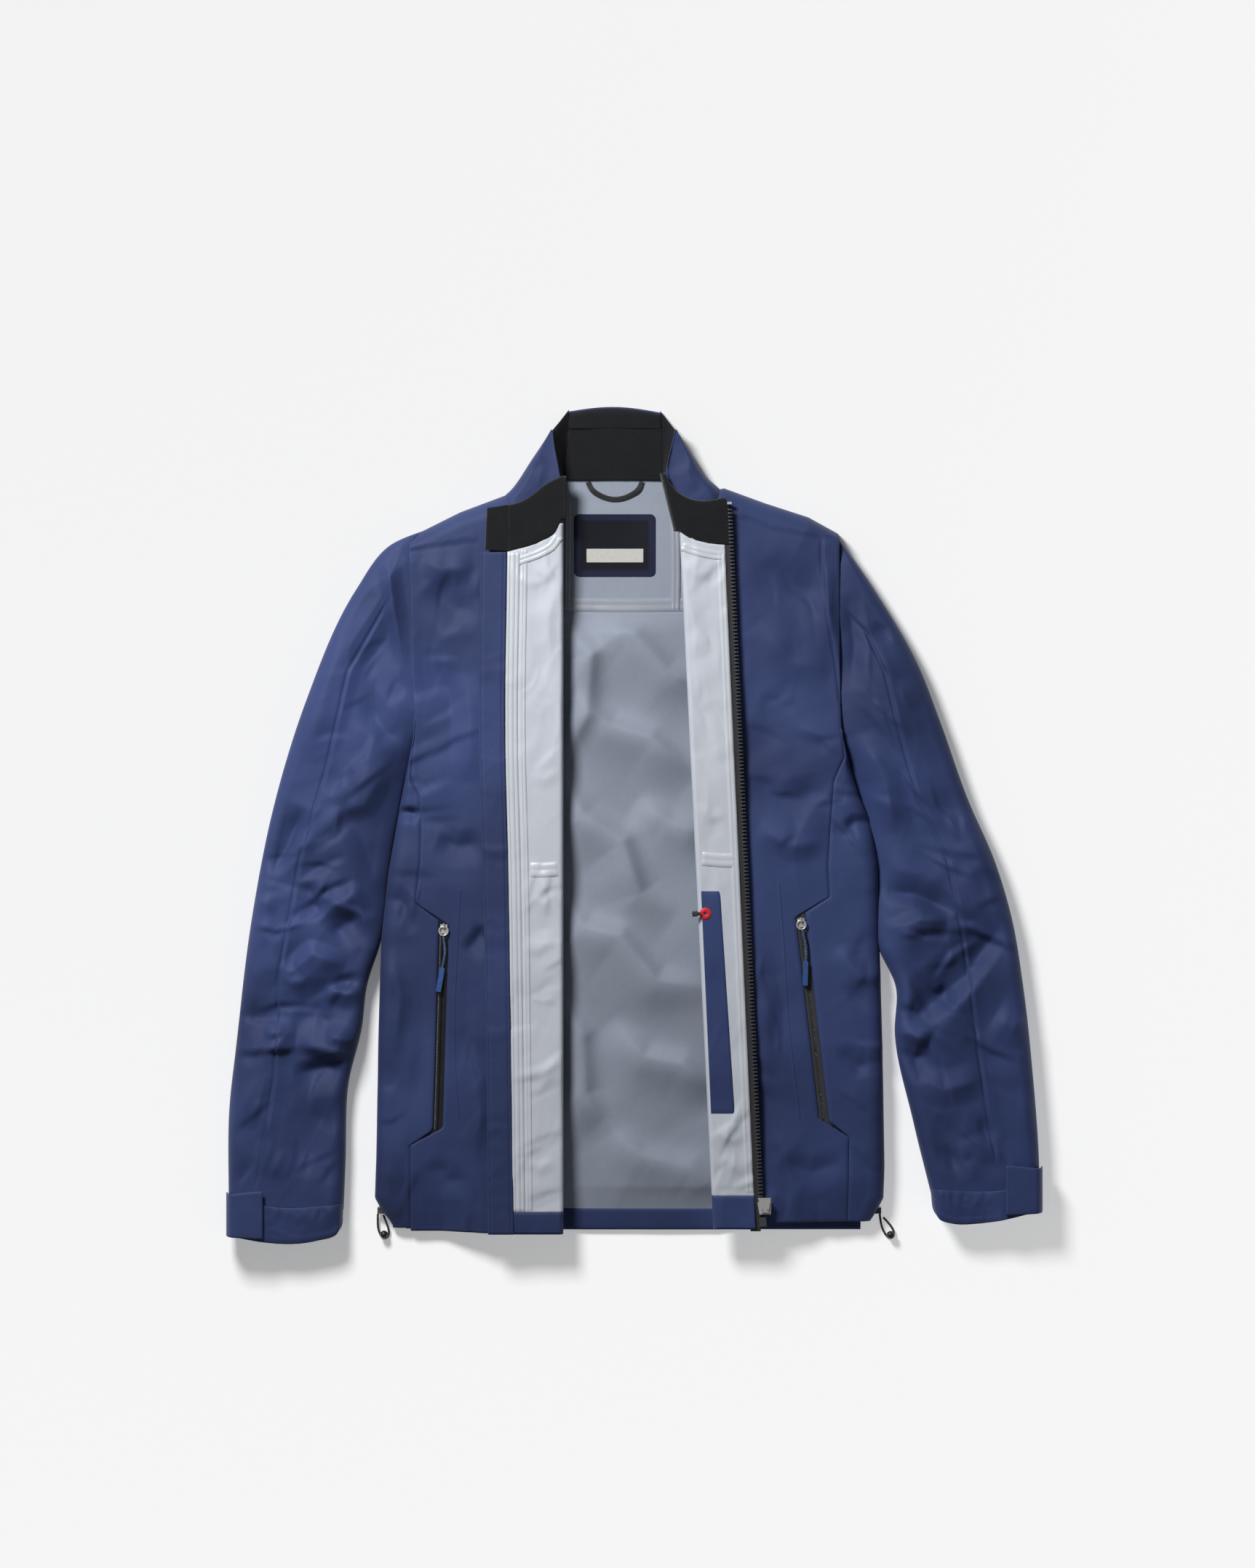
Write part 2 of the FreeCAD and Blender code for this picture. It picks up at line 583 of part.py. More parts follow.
slider_foot = S["stop_level"] + 2
slider_top = slider_foot + S["slider_length"]
slider_shift = S["tooth_reach"] + 1.2
channel = S["tooth_height"] / 2 + S["running_gap"]
slider_left = -S["tooth_reach"] - S["running_gap"] - S["slider_wall"]
slider_right = slider_shift * 2 - slider_left


def along_zip(offset_foot, offset_top, foot, top):
    """Four corners beside the row of teeth, from one level to another."""
    return [(zip_line(foot) + offset_foot[0], foot), (zip_line(top) + offset_top[0], top),
            (zip_line(top) + offset_top[1], top), (zip_line(foot) + offset_foot[1], foot)]


slider_middle = slider_foot + 3
pin_level = tape_middle + channel + S["slider_wall"] + S["puller_thick"] / 2 + S["running_gap"] * 2
casting = new_body("slider_casting", whole=False)
wings = along_zip((slider_left + 1.5, slider_right - 1.5), (slider_left, slider_right),
                  slider_foot, slider_top)
plate(casting, wings, tape_middle - channel - S["slider_wall"], S["slider_wall"])
post = along_zip((slider_shift - 0.7, slider_shift + 0.7), (slider_shift - 0.7, slider_shift + 0.7),
                 slider_foot + 3, slider_top - 1)
plate(casting, post, tape_middle - channel, channel * 2)
plate(casting, wings, tape_middle + channel, S["slider_wall"])
neck = S["puller_neck"] / 2
ear = S["slider_wall"]
bridge_level = tape_middle + channel + S["slider_wall"]
for near in (-neck - S["running_gap"] - ear, neck + S["running_gap"]):
    cheek = along_zip((slider_shift + near, slider_shift + near + ear),
                      (slider_shift + near, slider_shift + near + ear),
                      slider_middle - 1.3, slider_middle + 1.3)
    plate(casting, cheek, bridge_level, S["puller_thick"] + S["running_gap"] * 3)
pin_length = neck * 2 + S["running_gap"] * 2 + ear
across_zip = Vector(-(zip_line(0) - zip_line(100)).value, 100, 0)
lean = FreeCAD.Rotation(Vector(0, 1, 0), across_zip)
flat = lean.multiply(FreeCAD.Rotation(Vector(0, 1, 0), 90))
pin_start = zip_line(slider_middle) + slider_shift - pin_length / 2
pin_start_level = slider_middle - pin_length / 2 * (zip_line(0) - zip_line(100)) / 100


def pin_bar(label, radius):
    """The bar across the slider that its puller swings on, or the eye around it."""
    bar = primitive("Cylinder", label, {"Radius": radius, "Height": pin_length})
    place_at(bar, pin_start, pin_start_level, pin_level, flat)
    return bar


slider = doc.addObject("Part::Fuse", "ZipSlider")
slider.Label = "zip_slider"
slider.Base = casting
slider.Tool = pin_bar("slider_pin", S["puller_pin"])
parts.append(slider)

tab = new_body("puller_tab", whole=False)
shoulder = S["puller_shoulder"] / 2
wide = S["puller_width"] / 2
puller_root = slider_middle - S["puller_thick"] / 2
puller_knee = slider_middle + 1.9
puller_far = puller_root + S["puller_length"]


def beside_zip(offset, level):
    """A point beside the middle of the slider."""
    return (zip_line(level) + slider_shift + offset, level)


plate(tab, [beside_zip(-neck, puller_root), beside_zip(-neck, puller_knee),
            beside_zip(-shoulder, puller_knee), beside_zip(-wide, puller_far),
            beside_zip(wide, puller_far), beside_zip(shoulder, puller_knee),
            beside_zip(neck, puller_knee), beside_zip(neck, puller_root)],
      pin_level - S["puller_thick"] / 2, S["puller_thick"])
puller = doc.addObject("Part::Cut", "ZipPuller")
puller.Label = "zip_puller"
puller.Base = tab
puller.Tool = pin_bar("puller_eye", S["puller_pin"] + 0.05)
parts.append(puller)

# ------------------------------------------------------------------ hand pockets
for side, sign in SIGN.items():
    top, foot = pocket_ends[side]
    zip_set = []
    head = Vector(top[0].value, top[1].value, 0)
    tail = Vector(foot[0].value, foot[1].value, 0)
    down = (tail - head).normalize()
    across = Vector(-down.y, down.x, 0)
    lean = FreeCAD.Rotation(Vector(0, -1, 0), down)
    length = (tail - head).Length
    coil = S["coil"].value
    trim = S["trim"].value
    tape_half = S["window"].value / 2 + S["zip_pad"].value
    for turn in (-1, 1):
        tape = Part.makeBox(tape_half - 0.1, length, trim, Vector(0.1, -length, 0))
        if turn < 0:
            tape = Part.makeBox(tape_half - 0.1, length, trim, Vector(-tape_half, -length, 0))
        row = Part.makeBox(coil / 2 - 0.1, length - 4, coil / 2,
                           Vector(0.1 if turn > 0 else -coil / 2, 2 - length, trim))
        zip_set += [tape.fuse(row).removeSplitter()]
    place = FreeCAD.Placement(Vector(head.x, head.y, (panel_under - S["trim"]).value), lean)
    shape_part(f"{side}_pocket_zip", Part.makeCompound(zip_set), place)

    wide = S["pocket_slider_width"].value
    long = S["pocket_slider_length"].value
    arch = S["pocket_slider_arch"].value
    wire = S["ring_wire"].value
    radius = S["ring_radius"].value
    base = Part.makeBox(wide, long, trim, Vector(-wide / 2, -long, 0))
    hump = Part.makeBox(trim, arch * 4, arch * 2.9, Vector(-trim / 2, -arch * 3, trim - 0.1))
    eye = Part.makeCylinder(arch, trim * 2, Vector(-trim, -arch * 1.7, trim + arch + 0.2),
                            Vector(1, 0, 0))
    rise = (torso_rise + S["running_gap"]).value
    place = FreeCAD.Placement(Vector(head.x, head.y, rise), lean)
    shape_part(f"{side}_pocket_slider", base.fuse(hump).removeSplitter().cut(eye), place)

    # the pull: a split ring through the slider, a doubled cord and a moulded grip
    pull_level = rise + trim + arch + 0.2
    ring_spot = head + down * (arch * 1.7 + radius) + Vector(0, 0, pull_level)
    ring = Part.makeTorus(radius, wire)
    shape_part(f"{side}_pull_ring", ring, FreeCAD.Placement(ring_spot, lean))

    cord = S["pull_cord"].value
    grip_size = (S["grip_width"].value, S["grip_length"].value, S["grip_height"].value)
    cord_start = head + down * (arch * 1.7 + radius * 2 + wire)
    cord_level = Vector(0, 0, pull_level)
    cord_end = cord_start + down * S["pull_cord_length"].value
    sway = across * 2.2
    middle = cord_start + down * (S["pull_cord_length"].value * 0.5) + sway
    cord_tube(f"{side}_pull_cord", [cord_start + cord_level, middle + cord_level,
                                    cord_end + cord_level], cord)
    aim = FreeCAD.Rotation(Vector(0, -1, 0), (cord_end - middle).normalize())
    grip = Part.makeBox(grip_size[0], grip_size[1], grip_size[2],
                        Vector(-grip_size[0] / 2, -grip_size[1], 0))
    upright = [edge for edge in grip.Edges if edge.BoundBox.ZLength > grip_size[2] - 0.01]
    grip = grip.makeFillet(S["trim"].value, upright)
    grip_level = Vector(0, 0, pull_level - grip_size[2] / 2)
    shape_part(f"{side}_pull_grip", grip, FreeCAD.Placement(cord_end + grip_level, aim))

    bag = new_body(f"{side}_pocket_bag")
    bag_level = panel_under - S["trim"] - S["bag_height"]
    bag_inner = seam - S["bag_width"]
    bag_foot = foot[1] - 12
    plate(bag, [(bag_inner * sign, top[1]), ((seam - 4) * sign, top[1]),
                ((seam - 4) * sign, bag_foot), (bag_inner * sign, bag_foot)],
          bag_level, S["bag_height"])

# ------------------------------------------------------------------ hem pulls
# Each elastic loop comes out of the hem by the side seam and ends in a round bead. Its points
# are measured out from the side of the hem and up from its lower edge.
HEM_LOOPS = {
    "right": [(-3, 16), (-2.5, 6), (-4, -3), (-8.5, -9.5), (-13.5, -7), (-14, 0.5), (-11, 8),
              (-8.5, 15)],
    "left": [(-4, 16), (-3, 6), (0.5, -3), (5.5, -9), (10.5, -7.5), (10, -0.5), (5.5, 6.5),
             (-0.5, 12.5)],
}
HEM_BALLS = {"right": (-9.3, -4.2), "left": (6.6, -4.6)}
guides = []
for side, sign in SIGN.items():
    cord = S["hem_cord"].value
    corner = Vector(S["hem_half"].value * sign, hem.value, cord + S["running_gap"].value)
    route = [corner + Vector(x * sign, y, cloth.value if y > -1 else 0)
             for x, y in HEM_LOOPS[side]]
    cord_tube(f"{side}_hem_loop", route, cord)

    ball = primitive("Sphere", f"{side}_hem_ball", {"Radius": S["hem_ball"]})
    x, y = HEM_BALLS[side]
    place_at(ball, S["hem_half"] * sign + x * sign, hem + y, S["hem_ball"] + cord * 2 + 0.6)
    parts.append(ball)

    guide = Part.makeBox(S["guide_length"].value, S["guide_depth"].value, S["hem_ball"].value * 2)
    guide_x = min(corner.x, corner.x - S["guide_length"].value * sign)
    guide_spot = Vector(guide_x - 3 * sign, S["hem_side_level"].value - 1, cloth.value)
    guides.append(guide.translate(guide_spot))
shape_part("hem_cord_guides", Part.makeCompound(guides), FreeCAD.Placement())

doc.recompute()

# ------------------------------------------------------------------ check and write
for item in doc.Objects:
    if "Invalid" in item.State or "Error" in item.State:
        raise SystemExit(f"{item.Label} failed: {item.State}")
for piece in parts:
    if piece.Shape.isNull() or not piece.Shape.isValid():
        raise SystemExit(f"{piece.Label} has no valid shape")
os.makedirs("parts", exist_ok=True)
for piece in parts:
    piece.Shape.exportStep(f"parts/{piece.Label}.step")
print(len(parts), "pieces")
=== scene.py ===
import math

import bpy
import numpy as np
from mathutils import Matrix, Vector


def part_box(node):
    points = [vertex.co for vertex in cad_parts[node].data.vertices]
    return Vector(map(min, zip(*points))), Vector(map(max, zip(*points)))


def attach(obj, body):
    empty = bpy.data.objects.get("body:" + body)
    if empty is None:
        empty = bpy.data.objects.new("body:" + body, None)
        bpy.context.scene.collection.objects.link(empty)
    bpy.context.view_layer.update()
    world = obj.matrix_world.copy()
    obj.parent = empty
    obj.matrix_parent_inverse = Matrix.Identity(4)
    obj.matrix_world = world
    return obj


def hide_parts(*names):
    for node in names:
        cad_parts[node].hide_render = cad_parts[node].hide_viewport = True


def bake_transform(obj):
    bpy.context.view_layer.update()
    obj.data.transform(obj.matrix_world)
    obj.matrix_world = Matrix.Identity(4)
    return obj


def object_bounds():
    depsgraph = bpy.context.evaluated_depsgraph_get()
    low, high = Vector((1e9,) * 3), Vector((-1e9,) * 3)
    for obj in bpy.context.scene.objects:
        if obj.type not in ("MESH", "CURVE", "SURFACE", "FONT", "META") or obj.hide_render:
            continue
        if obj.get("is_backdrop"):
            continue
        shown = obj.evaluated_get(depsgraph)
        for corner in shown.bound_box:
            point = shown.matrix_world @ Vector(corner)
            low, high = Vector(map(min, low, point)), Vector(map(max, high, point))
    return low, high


# A foul weather jacket laid flat on its back, both fronts folded open like lapels.
# X runs from the wearer's right to the left, Y from the hem to the collar, Z up from the floor.
# Lengths in the sections below are millimetres until a mesh is made.

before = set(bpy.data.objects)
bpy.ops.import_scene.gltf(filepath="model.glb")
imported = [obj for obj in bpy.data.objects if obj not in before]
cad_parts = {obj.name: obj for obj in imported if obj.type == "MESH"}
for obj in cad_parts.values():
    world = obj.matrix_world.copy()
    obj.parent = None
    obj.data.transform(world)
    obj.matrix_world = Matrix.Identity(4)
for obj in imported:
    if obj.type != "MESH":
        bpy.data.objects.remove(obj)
cad_box = [list(corner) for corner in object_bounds()]
bpy.ops.object.select_all(action="DESELECT")

# ---- Table, light and camera --------------------------------------------------------------
# The jacket lies on a pale seamless table under a large soft light from the collar side on
# the left, and is looked at from straight above.
MM = 0.001


class Wire:
    """A socket in a material. Sums are written as in Python, and make() adds any other node."""

    def __init__(self, tree, socket):
        self.tree, self.socket = tree, socket

    def make(self, kind, sockets=None, out=0, **settings):
        node = self.tree.nodes.new(kind)
        for name, value in settings.items():
            if name == "stops":
                ramp = node.color_ramp.elements
                while len(ramp) < len(value):
                    ramp.new(1.0)
                for stop, (place, colour) in zip(ramp, value):
                    stop.position, stop.color = place, (*colour, 1)
            else:
                setattr(node, name, value)
        for key, value in (sockets or {}).items():
            if isinstance(value, Wire):
                self.tree.links.new(value.socket, node.inputs[key])
            else:
                node.inputs[key].default_value = value
        return Wire(self.tree, node.outputs[out])

    def maths(self, operation, first, second=0.0, clamp=False):
        return self.make("ShaderNodeMath", {0: first, 1: second}, operation=operation,
                         use_clamp=clamp)

    def __add__(self, other):
        return self.maths("ADD", self, other)

    def __sub__(self, other):
        return self.maths("SUBTRACT", self, other)

    def __mul__(self, other):
        return self.maths("MULTIPLY", self, other)

    def __rsub__(self, other):
        return self.maths("SUBTRACT", other, self)

    __radd__ = __add__
    __rmul__ = __mul__

    def wave(self, length):
        """A sine between 0 and 1 that repeats over a length in metres."""
        return self.maths("SINE", self * (2 * math.pi / length)) * 0.5 + 0.5

    def noise(self, size, detail=2.0, rough=0.5):
        """Noise whose patches are about a size in metres, from 0 to 1."""
        return self.make("ShaderNodeTexNoise", {"Vector": self, "Scale": 1 / size,
                                                "Detail": detail, "Roughness": rough})

    def split(self):
        return [self.make("ShaderNodeSeparateXYZ", {0: self}, out=axis) for axis in range(3)]

    def blend(self, first, second):
        """One colour where this is 0 and another where it is 1."""
        first, second = [c if isinstance(c, Wire) else (*c, 1) for c in (first, second)]
        return self.make("ShaderNodeMix", {0: self, 6: first, 7: second}, out=2,
                         data_type="RGBA")

    def between(self, low, high):
        """0 below a low value, 1 above a high one, and smooth in between."""
        return self.make("ShaderNodeMapRange", {0: self, 1: low, 2: high},
                         interpolation_type="SMOOTHSTEP")


def new_material(name, roughness, **constants):
    """A material, its place on the piece's cloth and in space, and a call that finishes it."""
    material = bpy.data.materials.new(name)
    material.use_nodes = True
    tree = material.node_tree
    shader = tree.nodes["Principled BSDF"]
    shader.inputs["Roughness"].default_value = roughness
    for key, value in constants.items():
        shader.inputs[key.replace("_", " ")].default_value = value
    place = Wire(tree, tree.nodes.new("ShaderNodeTexCoord").outputs["Object"])
    along = Wire(tree, tree.nodes.new("ShaderNodeUVMap").outputs["UV"])

    def done(colour, height, depth, rough=None, strength=1.0):
        tree.links.new(colour.socket, shader.inputs["Base Color"])
        if rough is not None:
            tree.links.new(rough.socket, shader.inputs["Roughness"])
        bump = height.make("ShaderNodeBump", {"Height": height, "Distance": depth,
                                              "Strength": strength})
        tree.links.new(bump.socket, shader.inputs["Normal"])
        return material

    return place, along, done


place, along, done = new_material("table_paint_and_glow", 0.9)
LAMP_AT, LAMP_POWER, SKY = (-0.72, 1.08, 1.30), 135.0, 0.12
table_x, table_y, _ = place.split()
aside, along_table = table_x - LAMP_AT[0], table_y - LAMP_AT[1]
reach = aside * aside + along_table * along_table + LAMP_AT[2] ** 2
lit = reach.maths("POWER", reach, -1.5) * (LAMP_AT[2] * LAMP_POWER / (4 * math.pi ** 2)) + SKY
# Painted light on the table: its paint is darker where the lamp lights it more, and it glows with
# painted light where the lamp is weak, so it reads evenly bright.
paint = lit.maths("MINIMUM", lit.maths("DIVIDE", 0.915, lit), 0.97)
painted_fill_glow = lit.maths("MAXIMUM", 0.925 - lit * paint, 0.0)
table_paint_and_glow = done(paint, place.noise(0.01), 0.00005)
table_shader = table_paint_and_glow.node_tree.nodes["Principled BSDF"]
table_paint_and_glow.node_tree.links.new(painted_fill_glow.socket, table_shader.inputs["Emission Color"])
table_shader.inputs["Emission Strength"].default_value = 1.0
table_shader.inputs["Specular IOR Level"].default_value = 0.0
bpy.ops.mesh.primitive_plane_add(size=40, location=(0, 0, -0.0005))
table = bpy.context.object
table.name = "table"
table.data.materials.append(table_paint_and_glow)
table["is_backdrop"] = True

view_across, view_up, view_height = -1.8, 39.6, 3.2
cloth_level, half_view = 0.02, 0.776
camera = bpy.data.objects.new("camera", bpy.data.cameras.new("camera"))
bpy.context.scene.collection.objects.link(camera)
camera.location = (view_across * MM, view_up * MM, view_height)
camera.data.sensor_fit = "VERTICAL"
camera.data.sensor_height = camera.data.sensor_width = 36
camera.data.lens = camera.data.sensor_height / 2 * (view_height - cloth_level) / half_view
camera.data.clip_end = 20
bpy.context.scene.camera = camera
bpy.context.scene.view_settings.view_transform = "Standard"

world = bpy.data.worlds.new("studio")
world.use_nodes = True
world.node_tree.nodes["Background"].inputs["Color"].default_value = (0.97, 0.985, 1.0, 1)
world.node_tree.nodes["Background"].inputs["Strength"].default_value = SKY
bpy.context.scene.world = world
light = bpy.data.lights.new("key_light", "POINT")
light.energy, light.shadow_soft_size = LAMP_POWER, 0.26
lamp = bpy.data.objects.new("key_light", light)
lamp.location = LAMP_AT
bpy.context.scene.collection.objects.link(lamp)

# ---- Back of the body ---------------------------------------------------------------------
# One large panel of waterproof nylon with a membrane lining inside, and a yoke above it. The
# seams are stitched, and taped on the inside. It lies on the table, lining upwards.


def smooth_line(points, count=200):
    """A smooth line through points, as evenly spaced ones."""
    points = np.array(points, float)
    steps = np.linalg.norm(np.diff(points, axis=0), axis=1)
    at = np.concatenate([[0], np.cumsum(steps)])
    slope = np.gradient(points, at, axis=0) if len(points) > 2 else np.repeat(
        (points[1:] - points[:1]) / at[-1], 2, axis=0)
    where = np.linspace(0, at[-1], count * 4)
    cell = np.clip(np.searchsorted(at, where) - 1, 0, len(steps) - 1)
    width = steps[cell]
    t = ((where - at[cell]) / width)[:, None]
    width = width[:, None]
    line = ((2 * t ** 3 - 3 * t ** 2 + 1) * points[cell]
            + (t ** 3 - 2 * t ** 2 + t) * width * slope[cell]
            + (3 * t ** 2 - 2 * t ** 3) * points[cell + 1]
            + (t ** 3 - t ** 2) * width * slope[cell + 1])
    far = np.concatenate([[0], np.cumsum(np.linalg.norm(np.diff(line, axis=0), axis=1))])
    even = np.linspace(0, far[-1], count)
    return np.stack([np.interp(even, far, line[:, axis]) for axis in range(line.shape[1])], 1)


def across_at(points, level):
    """X of a line given as (x, y) corners, at each level."""
    line = np.array(sorted(points, key=lambda p: p[1]), float)
    return np.interp(level, line[:, 1], line[:, 0])


def drift(x, y, size, seed):
    """Smooth random heights from -1 to 1 that change over a size."""
    table = np.random.default_rng(seed).uniform(-1, 1, (64, 64))
    turn = seed * 0.7
    u = (x * math.cos(turn) - y * math.sin(turn)) / size + 1000.3
    v = (x * math.sin(turn) + y * math.cos(turn)) / size + 1000.7
    i, j = np.floor(u).astype(int), np.floor(v).astype(int)
    f, g = u - i, v - j
    f, g = f * f * f * (f * (f * 6 - 15) + 10), g * g * g * (g * (g * 6 - 15) + 10)
    corner = lambda a, b: table[(i + a) % 64, (j + b) % 64]
    return ((corner(0, 0) * (1 - f) + corner(1, 0) * f) * (1 - g)
            + (corner(0, 1) * (1 - f) + corner(1, 1) * f) * g)


def crumple(x, y, size, seed, angle=0.0, stretch=1.0):
    """Creases between soft hollows, drawn out along a direction, from about -1 to 1."""
    c, s = math.cos(angle), math.sin(angle)
    u, v = (x * c + y * s) / stretch, -x * s + y * c
    sway, push = drift(x, y, size * 1.7, seed + 5), drift(x, y, size * 1.7, seed + 9)
    u, v = u + sway * size * 0.5, v + push * size * 0.5
    ridge = 1 - 2.2 * np.abs(drift(u, v, size, seed))
    ridge = ridge * (0.6 + 0.4 * drift(x, y, size * 2.5, seed + 3))
    return ridge + 0.4 * drift(u, v, size * 0.45, seed + 7)


def raised(x, y, line, height, left, right, fade=0.35, crisp=True):
    """A fold along a line: its height, and how far it runs out on its left and right."""
    line = np.array(line, float)
    lengths = np.linalg.norm(np.diff(line, axis=0), axis=1)
    start = np.concatenate([[0], np.cumsum(lengths)])
    nearest, side, along_it = np.full(x.shape, 1e9), np.zeros(x.shape), np.zeros(x.shape)
    for (a, b), length, far in zip(zip(line, line[1:]), lengths, start):
        d = (b - a) / length
        t = np.clip((x - a[0]) * d[0] + (y - a[1]) * d[1], 0, length)
        off = np.hypot(x - a[0] - d[0] * t, y - a[1] - d[1] * t)
        closer = off < nearest
        nearest = np.where(closer, off, nearest)
        side = np.where(closer, (y - a[1]) * d[0] - (x - a[0]) * d[1], side)
        along_it = np.where(closer, (far + t) / start[-1], along_it)
    reach = np.where(side > 0, left, right)
    ends = np.clip(np.minimum(along_it, 1 - along_it) / fade, 0, 1)
    soft = np.sqrt((nearest / reach) ** 2 + 0.02) - 0.1414
    section = np.clip(1 - soft / 1.5, 0, 1) ** 1.3 if crisp else np.exp(-1.7 * soft ** 1.5)
    return height * np.sin(ends * math.pi / 2) ** 1.3 * section


def creases(x, y, seed, groups):
    """Short sharp creases: each group gives a box, a direction, how many, and their height."""
    chance = np.random.default_rng(seed)
    z = np.zeros(x.shape)
    for (left, low, right, high), lean, count, tall in groups:
        for _ in range(count):
            middle = np.array([chance.uniform(left, right), chance.uniform(low, high)])
            turn = math.radians(lean + chance.normal(0, 22))
            length = chance.uniform(28, 78)
            step = np.array([math.cos(turn), math.sin(turn)]) * length / 2
            bow = np.array([-step[1], step[0]]) * chance.uniform(-0.3, 0.3)
            near, far = chance.uniform(2.5, 5), chance.uniform(10, 24)
            if chance.random() < 0.5:
                near, far = far, near
            z = z + raised(x, y, [middle - step, middle + bow, middle + step],
                           tall * chance.uniform(1.1, 2.3) * chance.choice([-0.9, 1]), near, far,
                           0.5)
    return z


def apply_modifiers(piece):
    bpy.ops.object.select_all(action="DESELECT")
    bpy.context.view_layer.objects.active = piece
    piece.select_set(True)
    for modifier in list(piece.modifiers):
        bpy.ops.object.modifier_apply(modifier=modifier.name)
    piece.select_set(False)


def mesh_piece(name, points, faces, materials, body, nodes=(), coords=None, chosen=None):
    """An object from points in millimetres, riding on a body."""
    mesh = bpy.data.meshes.new(name)
    mesh.from_pydata((np.asarray(points, float).reshape(-1, 3) * MM).tolist(), [], faces)
    for material in materials:
        mesh.materials.append(material)
    mesh.shade_smooth()
    if coords is not None:
        layer = mesh.uv_layers.new(name="cloth")
        corners = np.zeros(len(mesh.loops), int)
        mesh.loops.foreach_get("vertex_index", corners)
        layer.data.foreach_set("uv", (np.asarray(coords, float).reshape(-1,
                2)[corners] * MM).ravel())
    if chosen is not None:
        mesh.polygons.foreach_set("material_index", chosen)
    piece = bpy.data.objects.new(name, mesh)
    bpy.context.scene.collection.objects.link(piece)
    if body:
        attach(piece, body)
    if nodes:
        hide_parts(*nodes)
    return piece


def grid_faces(rows, columns, closed=False, flip=False):
    i, j = np.meshgrid(np.arange(rows - 1), np.arange(columns - (0 if closed else 1)),
                       indexing="ij")
    k = (j + 1) % columns
    quads = np.stack([i * columns + j, i * columns + k, (i + 1) * columns + k,
                      (i + 1) * columns + j], -1)
    return (quads[..., ::-1] if flip else quads).reshape(-1, 4).tolist()


def cloth(name, sheet, faces_up, materials, body, nodes=(), thick=0.9, closed=False,
          chosen=None):
    """A sheet of cloth from a grid of points, given its thickness on the side away from view.
    The first material is on the side that the grid describes, the second on the other."""
    rows, columns = sheet.shape[:2]
    step = np.linalg.norm(np.diff(sheet, axis=1), axis=2)
    u = sheet[:, :1, 0] + np.sign(sheet[:, -1:, 0] - sheet[:, :1, 0] + 1e-9) * np.concatenate(
        [np.zeros((rows, 1)), np.cumsum(step, 1)], 1)
    coords = np.stack([u, sheet[..., 1]], -1)
    piece = mesh_piece(name, sheet, grid_faces(rows, columns, closed), materials, body, nodes,
                       coords, chosen)
    middle = piece.data.polygons[(rows // 2) * (columns - (0 if closed else 1)) + columns // 2]
    if (middle.normal.z > 0) != faces_up:
        piece.data.flip_normals()
    if thick:
        wall = piece.modifiers.new("thickness", "SOLIDIFY")
        wall.thickness, wall.offset = thick * MM, -1
        wall.material_offset = len(materials) // 2 if len(materials) > 1 else 0
        wall.material_offset_rim = 0
        apply_modifiers(piece)
    return piece


def shell_finish(name, tint):
    """Dense plain-weave nylon: navy, with a faint satin, slight mottling and broad patches of
    painted shade and light.
    """
    place, along, done = new_material(name, 0.62, Sheen_Weight=0.08, Sheen_Roughness=0.4,
                                      Specular_IOR_Level=0.24)
    across, up, _ = along.split()
    threads = across.wave(0.00055) * 0.5 + up.wave(0.00048) * 0.5
    mottle = place.noise(0.09, 4, 0.6)
    fine = place.noise(0.0032, 2)
    # broad patches of painted shade and light, standing in for cloth tilted away from or towards
    # the lamp
    painted_shade_patches = place.noise(0.16, 2).between(0.36, 0.64)
    shade = (painted_shade_patches * 0.62 + mottle * 0.28 + fine * 0.1).blend([c * 0.62 for c in tint],
            [c * 1.22 for c in tint])
    colour = threads.maths("MULTIPLY", threads, 0.16).blend(shade, [c * 0.6 for c in tint])
    fold = place.noise(0.062, 2, 0.4) - 0.5
    crinkle = 1.0 - fold.maths("ABSOLUTE", fold) * 5.0
    return done(colour, crinkle + threads * 0.07 + fine * 0.06, 0.0009, rough=0.56 + mottle * 0.14,
                strength=0.45)


def lining_finish(name, tint, line_tint):
    """Membrane lining: smooth, slightly shiny, printed with fine upright pin lines."""
    place, along, done = new_material(name, 0.6, Specular_IOR_Level=0.3)
    across, up, _ = along.split()
    lines = (across + place.noise(0.03) * 0.0002).wave(0.00155).between(0.55, 0.95)
    ribs = up.wave(0.0011)
    mottle = place.noise(0.12, 3)
    base = mottle.blend([c * 0.93 for c in tint], [c * 1.05 for c in tint])
    broken = place.noise(0.006).between(0.3, 0.7)
    colour = (lines * (0.35 + broken * 0.35)).blend(base, line_tint)
    return done(colour, lines * 0.6 + ribs * 0.2 + place.noise(0.004) * 0.3, 0.0001,
                rough=0.58 + mottle * 0.16, strength=0.4)


SHELL_TINT = (0.038, 0.0585, 0.168)
shell = shell_finish("navy_nylon", SHELL_TINT)
lining = lining_finish("membrane_lining", (0.60, 0.635, 0.70), (0.50, 0.535, 0.60))
# A darker copy of the same lining for inside the back: painted shade for the hollow under the
# fronts.
shaded_lining_copy = lining_finish("membrane_lining_painted_shade", (0.30, 0.336, 0.41), (0.225, 0.253, 0.315))

HEM = -404
BODY_EDGE = {-1: [(-213, 105), (-213, 91), (-228, 15), (-239, -50), (-246, -115), (-249, -223),
                  (-251, -332), (-252.5, -371), (-245, -385), (-238, -394), (-235, -399)],
             1: [(209, 133), (210, 95), (218, 59), (229, 24), (238, 4), (246, -39), (248, -115),
                 (251, -223), (253, -340), (252, -371), (245.5, -384), (240, -393), (236, -400)]}


